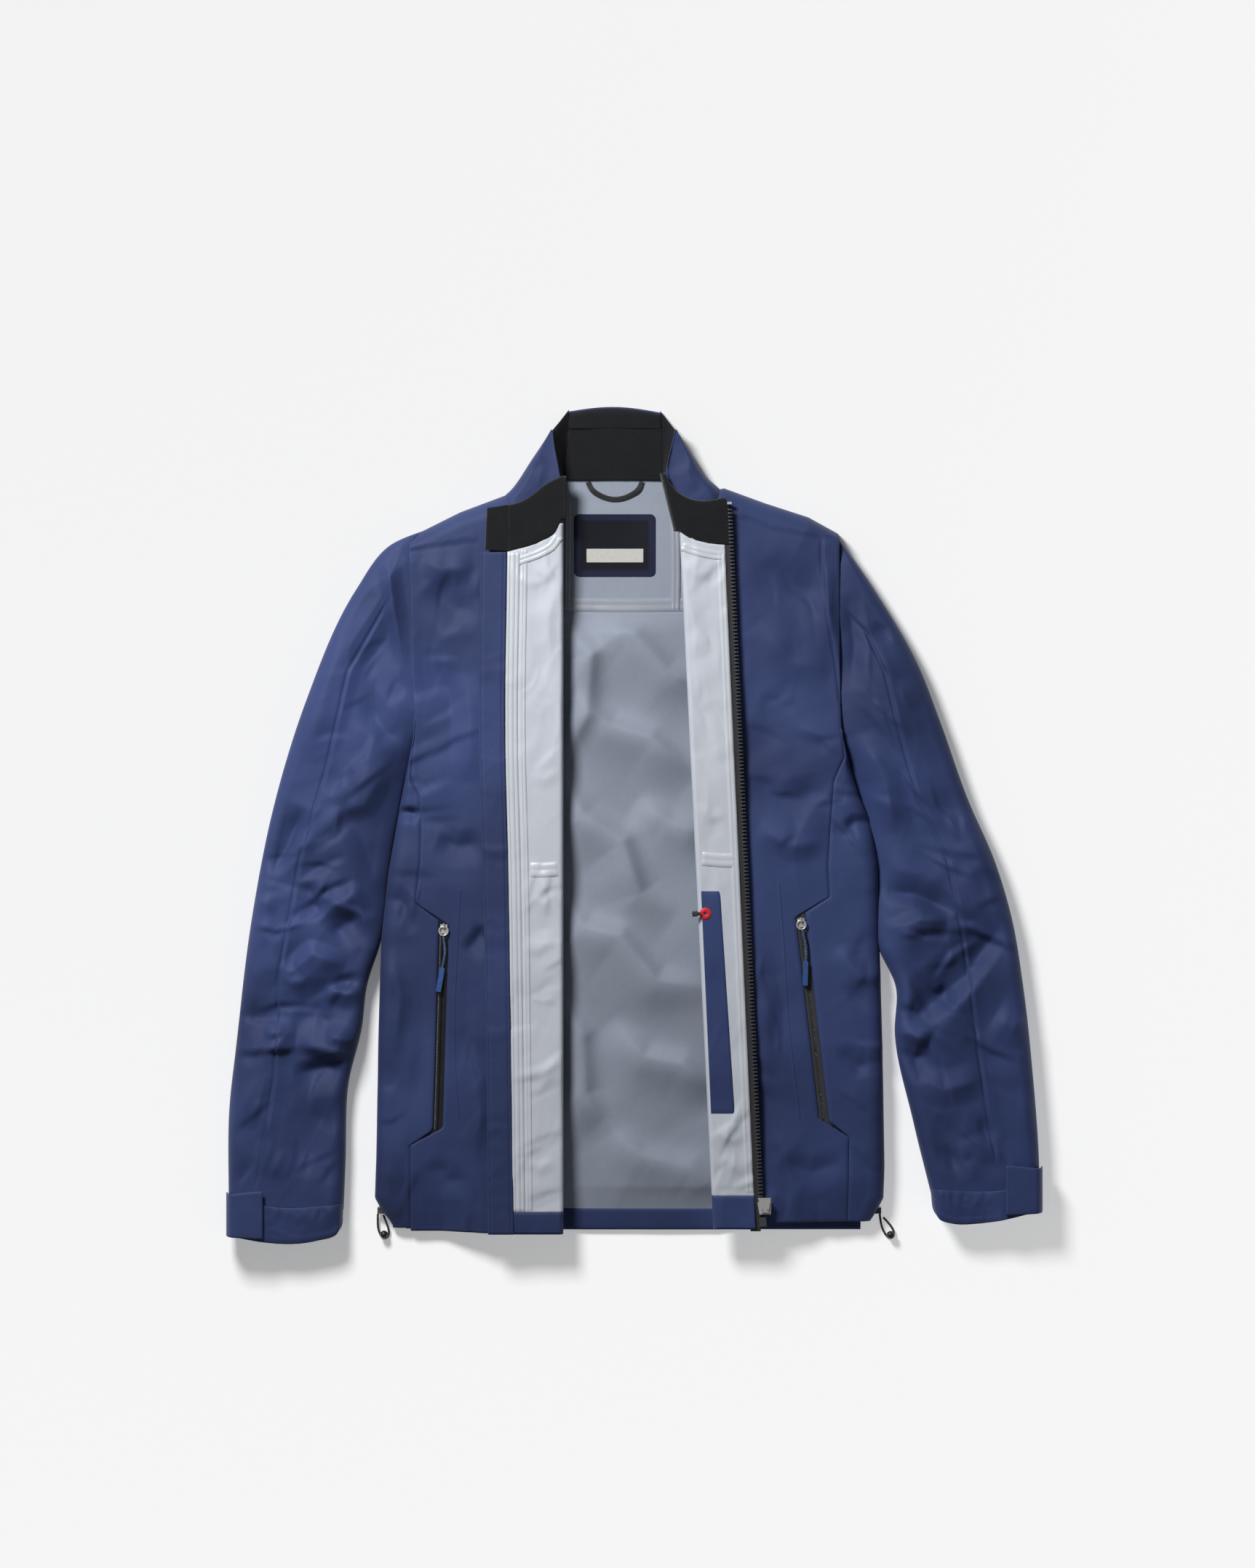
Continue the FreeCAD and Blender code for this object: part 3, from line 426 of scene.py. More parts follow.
BACK_FOLDS = [([(-70, 206), (-40, 168), (-44, 110), (-70, 60)], 4.4, 14, 30),
              ([(-40, 204), (4, 186), (36, 150), (78, 132)], 4.6, 16, 40),
              ([(-60, 128), (-20, 96), (20, 84), (66, 44)], 5.2, 14, 38),
              ([(-72, 52), (-46, 6), (-8, -18), (8, -70), (44, -96)], 5.4, 15, 38),
              ([(6, 22), (40, 0), (84, -14)], 3.6, 14, 30),
              ([(-74, -70), (-44, -104), (-10, -112), (26, -156), (88, -168)], 5.4, 14, 40),
              ([(-74, -168), (-48, -210), (-46, -268), (-20, -310)], 4.6, 14, 34),
              ([(-20, -196), (14, -232), (52, -240), (92, -272)], 4.8, 14, 36),
              ([(-30, -296), (10, -330), (60, -342), (92, -370)], 3.8, 14, 32)]


def back_height(x, y):
    """Height of the lining inside the back."""
    z = 5.5 + 4.0 * drift(x, y, 80, 11) + 0.7 * crumple(x, y, 60, 12, 0.9, 2.4)
    for line, height, left, right in BACK_FOLDS:
        z = z + raised(x, y, line, height * 2.5, left, right, crisp=False)
    calm = np.clip((y - 190) / 30, 0, 1) * 0.75 + np.clip((-360 - y) / 25, 0, 1) * 0.7
    z = 2.4 + (z - 2.4) * (1 - np.clip(calm, 0, 0.8) - 0.2 * np.clip((y - 308) / 12, 0, 1))
    hidden = np.clip((x - 86) / 14, 0, 1) + np.clip((-80 - x) / 14, 0, 1)
    z = z * (1 - hidden) + 2.2 * hidden
    return np.maximum(z, 1.7)


def between_lines(left, right, level, count, bunch=0.0):
    """A grid of x and y between two edges, one row for each level."""
    w = np.linspace(0, 1, count)
    w = w + bunch * np.sin(2 * math.pi * w) / (-2 * math.pi)
    x = left[:, None] + (right - left)[:, None] * w
    return x, np.repeat(level[:, None], count, 1)


level = np.linspace(HEM + 1, 211, 250)
edge = {sign: across_at([(x - sign * 13, y) for x, y in BODY_EDGE[sign]] + [(sign * 200, 211)],
                        level)
        for sign in (-1, 1)}
x, y = between_lines(edge[-1], edge[1], level, 150)
inside_z = back_height(x, y)
calm_edge = np.clip((np.minimum(x - edge[-1][:, None], edge[1][:, None] - x)) / 30, 0, 1)
inside_z = 1.7 + (inside_z - 1.7) * calm_edge
back = cloth("back_panel_cloth", np.stack([x, y, inside_z], -1), True, [shaded_lining_copy, shell],
             "jacket", ["back_panel"])

level = np.linspace(0, 1, 70)
columns = np.linspace(-200, 200, 150)
top_edge = np.interp(columns, [-206, -168, -120, -66, 34, 94, 135, 178, 207],
                     [287, 304, 324, 343, 343, 326, 314, 300, 285])
x = np.repeat(columns[None], 70, 0)
y = 211 + (top_edge - 211)[None] * level[:, None]
yoke = cloth("back_yoke_cloth", np.stack([x, y, back_height(x, y)], -1), True,
             [shaded_lining_copy, shell], "jacket", ["back_yoke"])

# ---- Fronts and side panels ---------------------------------------------------------------
# Each front is one panel of navy nylon from the folded opening to the side seam, with a side
# panel that turns round to the back. The pocket zip sits where the two panels part.
FRONT_RISE = 27.8
FOLD_RIGHT = -69


def fold_left(level):
    """The line that the wearer's left front is folded along."""
    return 51 + (340 - level) / 744 * 36


POCKET_TOP = {-1: (-183.0, -99.0), 1: (169.0, -93.0)}
POCKET_FOOT = {-1: (-189.0, -302.0), 1: (192.0, -291.0)}
FRONT_OUTER = {
    -1: [(-218, 287), (-218.6, 263), (-216.6, 150), (-212.6, 105), (-215.5, 46), (-208, 28),
         (-206, -4.5),
         (-207, -39), (-211.6, -78), (-178.3, -100), (-184.3, -300), (-217, -318), (-217, -404)],
    1: [(207.5, 289), (208, 133), (209.5, 95), (212, 66), (201.6, 42), (196, -41), (197.7, -72),
        (164.2, -92), (187.2, -291), (217, -309), (216, -404)]}
SIDE_INNER = {
    -1: [(-212.6, 105), (-215.5, 46), (-208, 28), (-206, -4.5), (-207, -39), (-211.6, -78),
         (-187.7, -95), (-187.6, -100), (-193.6, -300), (-194.4, -303), (-217, -318), (-217, -404)],
    1: [(209.5, 95), (212, 66), (201.6, 42), (196, -41), (197.7, -72), (174, -87), (173.8, -92),
        (196.8, -291), (197.4, -294), (217, -309), (216, -404)]}
SHOULDER = {-1: [(-218, 286), (-206, 291), (-168, 310), (-120, 328), (-69, 322)],
            1: [(50, 322), (94, 334), (135, 319), (178, 305), (207, 289), (212, 286)]}
FRONT_FOLDS = {
    -1: [([(-200, 236), (-172, 212), (-150, 214)], -2.5, 22, 16),
         ([(-198, 176), (-176, 120), (-176, 60)], -2.0, 22, 16),
         ([(-206, 262), (-184, 250), (-152, 254)], 2.0, 14, 10),
         ([(-232, 8), (-220, 12), (-206, 11)], -2.6, 4, 8),
         ([(-190, -14), (-170, -22), (-144, -18)], -2.4, 10, 14),
         ([(-164, -128), (-150, -112), (-144, -100)], -2.6, 6, 12),
         ([(-208, -150), (-202, -210), (-210, -290)], -1.6, 14, 8),
         ([(-160, -180), (-150, -260), (-152, -340)], 1.4, 9, 14),
         ([(-238, -120), (-226, -170), (-232, -230)], 1.8, 8, 14),
         ([(-196, -330), (-180, -352), (-156, -350)], -1.6, 10, 12),
         ([(-240, -60), (-222, -80), (-214, -110)], -2.2, 8, 12),
         ([(-160, 40), (-156, 100), (-162, 150)], 1.6, 12, 16)],
    1: [([(130, 262), (160, 236), (200, 228)], -2.0, 18, 24),
        ([(126, 200), (160, 160), (200, 150)], 1.8, 20, 14),
        ([(122, 40), (150, 26), (196, 34)], -1.8, 12, 20),
        ([(126, -4), (160, -22), (196, -16)], 1.9, 14, 10),
        ([(212, -6), (226, 4), (236, 8)], -2.2, 6, 10),
        ([(140, -120), (152, -180), (150, -250)], -1.5, 12, 10),
        ([(150, -330), (180, -344), (212, -332)], -1.6, 10, 14),
        ([(206, -120), (226, -150), (240, -160)], 2.0, 8, 14),
        ([(204, -222), (226, -240), (244, -232)], -1.8, 12, 8),
        ([(196, 262), (194, 225), (200, 170)], 1.5, 6, 9)]}


FRONT_CREASES = {-1: [((-212, 150, -150, 262), 50, 7, 1.1), ((-212, 0, -150, 130), 20, 8, 1.2),
                      ((-242, -60, -205, 80), 10, 7, 1.3), ((-172, -330, -148, -80), 70, 9, 1.0),
                      ((-246, -370, -205, -80), 60, 9, 1.1),
                      ((-245, -402, -150, -378), 80, 8, 0.7)],
                 1: [((130, 150, 206, 262), 130, 5, 0.9), ((125, -20, 206, 130), 165, 9, 1.1),
                     ((205, -60, 242, 80), 170, 7, 1.3), ((128, -330, 160, -80), 110, 8, 0.9),
                     ((205, -370, 246, -80), 120, 9, 1.0), ((140, -392, 245, -372), 100, 8, 0.7)]}
FRONT_SEAMS = {-1: [[(-217, 270), (-190, 274), (-150, 280)],
                    [(-218.6, 263), (-216.6, 150), (-212.6, 105)]],
               1: [[(105, 305), (140, 291), (198, 281)],
                   [(190, 281), (190, 258), (195, 207), (204, 159), (208, 120)]]}


def front_height(x, y, sign):
    """Height of the outside of a front as it lies over the back."""
    z = FRONT_RISE + 1.6 * drift(x, y, 105, 21) + 1.9 * crumple(x, y, 56, 23, 1.2 * sign, 2.8)
    z = z + 0.3 * crumple(x, y, 30, 47 + sign, 0.7 * sign, 2.2)
    z = z + 0.12 * crumple(x, y, 15, 26, 0.3, 1.6)
    for line, height, left, right in FRONT_FOLDS[sign]:
        z = z + raised(x, y, line, height * 2.5, left, right)
    z = z + creases(x, y, 60 + sign, FRONT_CREASES[sign])
    top, foot = POCKET_TOP[sign], POCKET_FOOT[sign]
    middle = np.interp(y, [foot[1], top[1]], [foot[0], top[0]])
    away = np.hypot(x - middle, np.maximum(0, np.maximum(y - top[1], foot[1] - y)))
    z = FRONT_RISE + (z - FRONT_RISE) * (0.12 + 0.88 * np.clip((away - 7) / 34, 0, 1))
    for line in FRONT_SEAMS[sign]:
        z = z + raised(x, y, line, -2.0, 1.6, 1.6, 0.02) + raised(x, y, line, 1.1, 8, 1.0, 0.02)
    inner = -FOLD_RIGHT if sign < 0 else fold_left(y)
    calm = np.clip((np.abs(x) - inner) / 30, 0, 1)
    droop = 15 * np.clip((-345 - y) / 58, 0, 1) ** 1.5 * np.clip((np.abs(x) - 146) / 40, 0, 1)
    return FRONT_RISE + (z - FRONT_RISE) * calm - droop


def dip(across, width=1.6, depth=0.9):
    """How far cloth turns down beside its seam."""
    return depth * np.exp(-(across / width) ** 2)


for sign, side in ((-1, "right"), (1, "left")):
    top_x, top_y = np.array(SHOULDER[sign]).T
    turn = np.linspace(0, math.pi / 2, 9)
    roll = 15 * (1 - np.cos(turn))
    lift = np.concatenate([np.sin(turn), np.ones(250)])
    front_foot = HEM if sign < 0 else HEM + 10
    from_top = np.concatenate([roll, np.linspace(17, 286 - front_foot, 250)])
    rough_level = 286 - from_top
    outer = across_at(FRONT_OUTER[sign], rough_level)
    inner = np.full(len(outer), float(FOLD_RIGHT)) if sign < 0 else fold_left(rough_level)
    x, y = between_lines(outer, inner, rough_level, 96, 0.35)
    shoulder = np.interp(x, top_x, top_y)
    y = y + (shoulder - 286) * np.clip(1 - from_top[:, None] / 130, 0, 1)
    z = front_height(x, y, sign) * lift[:, None] + 1.0 * (1 - lift[:, None])
    z = z - dip(np.abs(x - outer[:, None])) * (lift[:, None] > 0.9)
    front = cloth(f"{side}_front_cloth", np.stack([x, y, z], -1), True, [shell, lining], "jacket",
                  [f"{side}_front_panel"])

    level = np.linspace(104 if sign < 0 else 94, front_foot + (3 if sign < 0 else 0), 230)
    start, rim = across_at(SIDE_INNER[sign], level), across_at(BODY_EDGE[sign], level)
    width = np.abs(rim - start)
    reach = np.minimum(15, width * 0.5 + 1)
    flat_part = np.linspace(0, 1, 20)[None] * (width - reach)[:, None]
    bend = np.linspace(0, math.pi, 17)[1:]
    offset = np.concatenate([flat_part, (width - reach)[:, None]
                             + reach[:, None] * np.sin(bend)[None],
                             (width - reach)[:, None] - np.array([4, 10, 17])[None]], 1)
    x = start[:, None] + sign * offset
    y = np.repeat(level[:, None], x.shape[1], 1)
    top = front_height(np.where(offset < (width - reach)[:, None], x,
                                (start + sign * (width - reach))[:, None]), y, sign)
    share = np.concatenate([np.ones(20), (1 + np.cos(bend)) / 2, np.zeros(3)])
    z = 0.7 + (top - 0.7) * share[None] - dip(offset) * share[None]
    flank = cloth(f"{side}_side_cloth", np.stack([x, y, z], -1), True, [shell, shell], "jacket",
                  [f"{side}_side_panel"])

# ---- Sleeves ------------------------------------------------------------------------------
# Each sleeve is a tube of the same nylon, set into the armhole and lying flat, with the creases
# that it takes at the elbow and where it narrows towards the cuff.
SLEEVE_OUTER = {-1: [(-202, 292.5), (-239, 275), (-271, 232), (-320, 123), (-353, 15), (-374, -93),
                     (-390, -223), (-396, -277), (-397, -377)],
                1: [(203, 290.5), (243, 232), (287, 156), (308, 102), (335, 26), (363, -39),
                    (379, -93), (390, -158), (400, -250), (406, -337), (406.5, -363)]}
SLEEVE_INNER = {-1: [(-214, 285), (-215, 200), (-212, 105), (-228, 15), (-239, -50), (-246, -115),
                     (-260, -161), (-265, -202), (-278, -256), (-281, -332), (-283, -382)],
                1: [(206, 286), (205, 200), (208, 110), (216, 60), (229, 20), (240, -40),
                    (247, -123), (264, -162), (263, -207), (281, -294), (299, -367)]}
SLEEVE_SEAM = {-1: [(-235, 225), (-277, 152), (-298, 58), (-325, -34), (-346, -153), (-350, -250),
                    (-368, -361)],
               1: [(210, 214), (235, 188), (252, 150), (263, 102), (284, 28), (314, -34),
                   (330, -115), (352, -277), (363, -336)]}
SLEEVE_FOLDS = {
    -1: [([(-322, 18), (-338, -22), (-356, -50)], -5.0, 9, 16),
         ([(-318, -56), (-312, -80), (-300, -90)], -3.4, 8, 12),
         ([(-262, -62), (-280, -74), (-300, -72)], 3.6, 14, 8),
         ([(-262, -92), (-280, -98), (-296, -112)], -5.0, 16, 14),
         ([(-342, -154), (-312, -128), (-280, -140)], 4.6, 9, 24),
         ([(-332, -196), (-308, -186), (-286, -206)], -3.8, 22, 16),
         ([(-330, -216), (-300, -222), (-270, -228)], 4.2, 18, 7),
         ([(-332, -248), (-300, -240), (-272, -232)], -4.6, 8, 18),
         ([(-262, -164), (-280, -168), (-300, -160)], 3.4, 10, 7),
         ([(-262, -210), (-276, -214), (-300, -206)], 3.2, 6, 10),
         ([(-386, -170), (-374, -200), (-380, -240)], -2.6, 16, 14),
         ([(-290, 30), (-266, -10), (-250, -60)], -3.4, 20, 12),
         ([(-372, -90), (-352, -118), (-346, -160)], 2.4, 12, 18),
         ([(-286, -270), (-310, -300), (-318, -350)], -2.6, 14, 20),
         ([(-364, -270), (-352, -310), (-360, -350)], 2.2, 16, 10),
         ([(-232, 210), (-250, 150), (-252, 90)], -2.8, 14, 22),
         ([(-240, 268), (-234, 228), (-224, 158)], 3.4, 8, 7),
         ([(-282, 190), (-300, 130), (-318, 60)], 2.2, 18, 26),
         ([(-238, 60), (-262, 20), (-300, 8)], 2.6, 10, 18),
         ([(-262, 120), (-240, 90), (-222, 84)], -2.4, 12, 10)],
    1: [([(250, -66), (283, -70), (322, -88)], -5.0, 14, 8),
        ([(252, -104), (288, -94), (314, -96)], 4.0, 7, 24),
        ([(372, -92), (332, -150), (288, -188), (260, -204)], -5.4, 10, 22),
        ([(356, -130), (330, -176), (296, -212)], 3.0, 20, 16),
        ([(306, -160), (314, -170), (312, -184)], -2.4, 6, 8),
        ([(258, -206), (276, -206), (296, -216)], 4.4, 14, 6),
        ([(262, -222), (282, -232), (300, -226)], -4.2, 8, 16),
        ([(360, -190), (378, -200), (392, -190)], 2.6, 14, 14),
        ([(262, 40), (286, -6), (318, -40)], -2.8, 16, 26),
        ([(228, 90), (252, 44), (262, -10)], 3.0, 14, 12),
        ([(242, 190), (262, 130), (270, 70)], 2.4, 16, 24),
        ([(214, 230), (222, 180), (220, 130)], -3.4, 10, 12),
        ([(330, 10), (352, -50), (366, -110)], 2.2, 12, 18),
        ([(300, -290), (330, -310), (366, -300)], -2.2, 14, 16),
        ([(286, -250), (310, -262), (350, -250)], 2.6, 12, 12),
        ([(312, -340), (338, -330), (372, -344)], -2.0, 10, 10)]}


SLEEVE_CREASES = {-1: [((-330, -30, -250, 110), 35, 10, 1.6),
                       ((-370, -130, -260, -30), 10, 13, 2.2),
                       ((-375, -250, -270, -130), -5, 13, 2.4),
                       ((-390, -360, -290, -250), 70, 10, 1.4),
                       ((-270, 110, -222, 250), 60, 7, 1.4)],
                  1: [((240, -30, 330, 110), 130, 10, 1.5), ((255, -110, 360, -30), 170, 11, 2.0),
                      ((265, -230, 380, -110), 150, 13, 2.2),
                      ((290, -350, 395, -230), 110, 10, 1.4), ((220, 110, 275, 230), 115, 7, 1.3)]}


def sleeve_height(x, y, sign):
    z = 1.6 * drift(x, y, 110, 31 + sign) + 2.2 * crumple(x, y, 62, 35 + sign, 1.15 * -sign, 3.0)
    z = z + 0.4 * crumple(x, y, 30, 44 + sign, 0.5 * -sign, 2.2)
    z = z + 0.16 * crumple(x, y, 15, 39 + sign, -0.5 * sign, 1.7)
    for line, height, left, right in SLEEVE_FOLDS[sign]:
        z = z + raised(x, y, line, height * 2.1, left, right)
    z = z + creases(x, y, 70 + sign, SLEEVE_CREASES[sign])
    line = SLEEVE_SEAM[sign]
    return z + raised(x, y, line, -2.3, 1.7, 1.7, 0.02) + raised(x, y, line, 1.3, 8, 1.0, 0.02)


def tube_ring(width, reach, side_wall, count):
    """Offsets across a flat tube and their heights: outer bend, top, inner bend, underside."""
    bend = np.linspace(-math.pi / 2, math.pi / 2, 13)
    outer = (reach - reach * np.cos(bend), 0.5 + 0.5 * np.sin(bend))
    inner = (width - side_wall + side_wall * np.cos(bend[::-1]), 0.5 + 0.5 * np.sin(bend[::-1]))
    flat_top = np.linspace(reach, width - side_wall, count + 2)[1:-1]
    flat_under = np.linspace(width - side_wall, reach, count // 2 + 2)[1:-1]
    offset = np.concatenate([outer[0], flat_top, inner[0], flat_under])
    share = np.concatenate([outer[1], np.ones(count), inner[1], np.zeros(count // 2)])
    return offset, share


for sign, side in ((-1, "right"), (1, "left")):
    rows = 280
    outer, inner = smooth_line(SLEEVE_OUTER[sign], rows), smooth_line(SLEEVE_INNER[sign], rows)
    tuck_under = 6.5 * np.clip((inner[:, 1] - 40) / 60, 0, 1)
    inner[:, 0] -= sign * tuck_under
    body_rise = front_height(inner[:, 0], inner[:, 1], sign) - (1.6 if sign < 0 else 5.5)
    along_sleeve = np.linspace(0, 1, rows)
    width = np.linalg.norm(inner - outer, axis=1)
    sheet = []
    for row in range(rows):
        t = along_sleeve[row]
        armhole = np.clip((inner[row, 1] - 60) / 50, 0, 1)
        reach = min(13, width[row] * 0.25)
        side_wall = min(1.5 + 11.5 * (1 - armhole), width[row] * 0.25)
        offset, share = tube_ring(width[row], reach, side_wall, 76)
        spot = outer[row][None] + (inner - outer)[row][None] * (offset / width[row])[:, None]
        rise = np.interp(t, [0, 0.12, 0.4, 0.75, 1], [25, 29, 29, 29, 31])
        tucked = np.clip((inner[row, 1] + 125) / 60, 0, 1)
        near_body = np.exp(-((width[row] - offset) / 20) ** 2)
        top = rise + 1.6 * np.sin(math.pi * np.clip(offset / width[row], 0, 1)) - near_body * (
            tucked * (1 - armhole) * 13 + armhole * (rise - body_rise[row]))
        fade = np.clip(offset / 16, 0, 1) * np.clip((width[row] - offset) / (16 + 14 * armhole), 0,
                                                    1)
        top = top + sleeve_height(spot[:, 0], spot[:, 1], sign) * (0.25 + 0.75 * fade) * min(1,
                t * 12) * min(
            1, (1 - t) * 14 + 0.25)
        top = top * np.interp(t, [0, 0.02, 0.05], [0.3, 0.85, 1])
        under = 0.6 + 0 * top
        sheet.append(np.stack([spot[:, 0], spot[:, 1],
                               under + (np.clip(top, 8, 42) - under) * share], -1))
    sheet = np.array(sheet)
    cloth(f"{side}_sleeve_cloth", sheet, True, [shell, lining], "jacket",
          [f"{side}_sleeve_under", f"{side}_sleeve_upper"], closed=True)

# ---- Cuffs ----------------------------------------------------------------------------------
# A turned-up band of the shell ends each sleeve. An adjusting tab is sewn down along its front
# edge, wraps round the outer edge and grips a hook-and-loop patch under it.
CUFF_TOP = {-1: [(-397, -370), (-340, -378), (-283, -375)],
            1: [(406, -356), (350, -362), (298, -360)]}
CUFF_FOOT = {-1: [(-397, -405), (-372, -410), (-345, -414), (-308, -411), (-288, -404),
                  (-284, -392)],
             1: [(407, -380), (377, -388), (345, -394), (318, -394), (306, -390), (300, -378)]}
CUFF_RISE = 37.0
stitch_rows = {}


def stitches(group, line, surface, pitch=3.0, size=(2.0, 0.5, 0.28)):
    """Stitches along a line on a surface, kept until the group's mesh is made."""
    line = np.asarray(line, float)
    far = np.concatenate([[0], np.cumsum(np.linalg.norm(np.diff(line[:, :2], axis=0), axis=1))])
    at = np.arange(pitch / 2, far[-1], pitch)
    ends = []
    for shift in (-size[0] / 2, size[0] / 2):
        spot = np.stack([np.interp(np.clip(at + shift, 0, far[-1]), far, line[:, axis])
                         for axis in (0, 1)], 1)
        ends.append(np.column_stack([spot, surface(spot[:, 0], spot[:, 1])]))
    ahead = ends[1] - ends[0]
    beside = np.stack([-ahead[:, 1], ahead[:, 0], 0 * at], 1)
    beside *= (size[1] / 2 / np.maximum(np.linalg.norm(beside, axis=1), 1e-6))[:, None]
    up = np.array([0, 0, size[2]])
    middle = (ends[0] + ends[1]) / 2 + up
    low = np.array([0, 0, 0.25])
    points = np.stack([ends[0] - low, ends[1] - low, middle - beside - up * 0.8,
                       middle + beside - up * 0.8, middle], 1)
    stitch_rows.setdefault(group, []).append(points)


STITCH_FACES = [(0, 2, 4), (2, 1, 4), (1, 3, 4), (3, 0, 4)]


def make_stitches(group, material, body):
    points = np.concatenate(stitch_rows.pop(group))
    faces = [tuple(5 * number + corner for corner in face) for number in range(len(points))
             for face in STITCH_FACES]
    return mesh_piece(group, points, faces, [material], body)


def ribbon(name, line, width, surface, materials, body, nodes=(), lift=0.5, profile=None,
           ends=2, step=2.0):
    """A strip along a line on a surface, with its height across given by a profile."""
    line = np.asarray(line, float)
    length = np.linalg.norm(np.diff(line, axis=0), axis=1).sum()
    line = smooth_line(line, max(8, int(length / step)))
    ahead = np.gradient(line, axis=0)
    ahead /= np.linalg.norm(ahead, axis=1)[:, None]
    beside = np.stack([-ahead[:, 1], ahead[:, 0]], 1)
    profile = np.array(profile or [(-1, -0.3), (-0.97, 0.6), (-0.85, 1), (-0.3, 1), (0.3, 1),
                                   (0.85, 1), (0.97, 0.6), (1, -0.3)])
    if beside[0, 1] + beside[0, 0] < 0:
        profile = profile * np.array([-1, 1])
    spot = line[:, None, :] + beside[:, None, :] * (profile[None, :, :1] * width / 2)
    height = np.tile(profile[:, 1] * lift, (len(line), 1))
    if ends:
        height[0], height[-1] = -0.3, -0.3
    z = surface(spot[..., 0], spot[..., 1]) + height
    return cloth(name, np.concatenate([spot, z[..., None]], -1), True, materials, body, nodes,
                 thick=0)


def mottled_finish(name, roughness, patch, dark, light, grain, depth, gloss=None, **constants):
    """A finish that drifts between two colours over patches, with a fine grain. Gloss gives the
    roughness where it varies: its least, how much more, and over what size."""
    place, along, done = new_material(name, roughness, **constants)
    rough = None if gloss is None else gloss[0] + place.noise(gloss[2]) * gloss[1]
    return done(place.noise(*patch).blend(dark, light), place.noise(*grain), depth, rough=rough)


navy_thread = mottled_finish("navy_thread", 0.6, (0.002,), (0.02, 0.028, 0.07),
                             (0.055, 0.075, 0.16), (0.0004,), 0.0001, Sheen_Weight=0.3)
place, along, done = new_material("hook_and_loop", 0.95, Sheen_Weight=0.4)
fuzz = place.noise(0.0007, 3)
hook_cloth = done(fuzz.blend((0.008, 0.008, 0.01), (0.03, 0.03, 0.034)), fuzz, 0.0006)

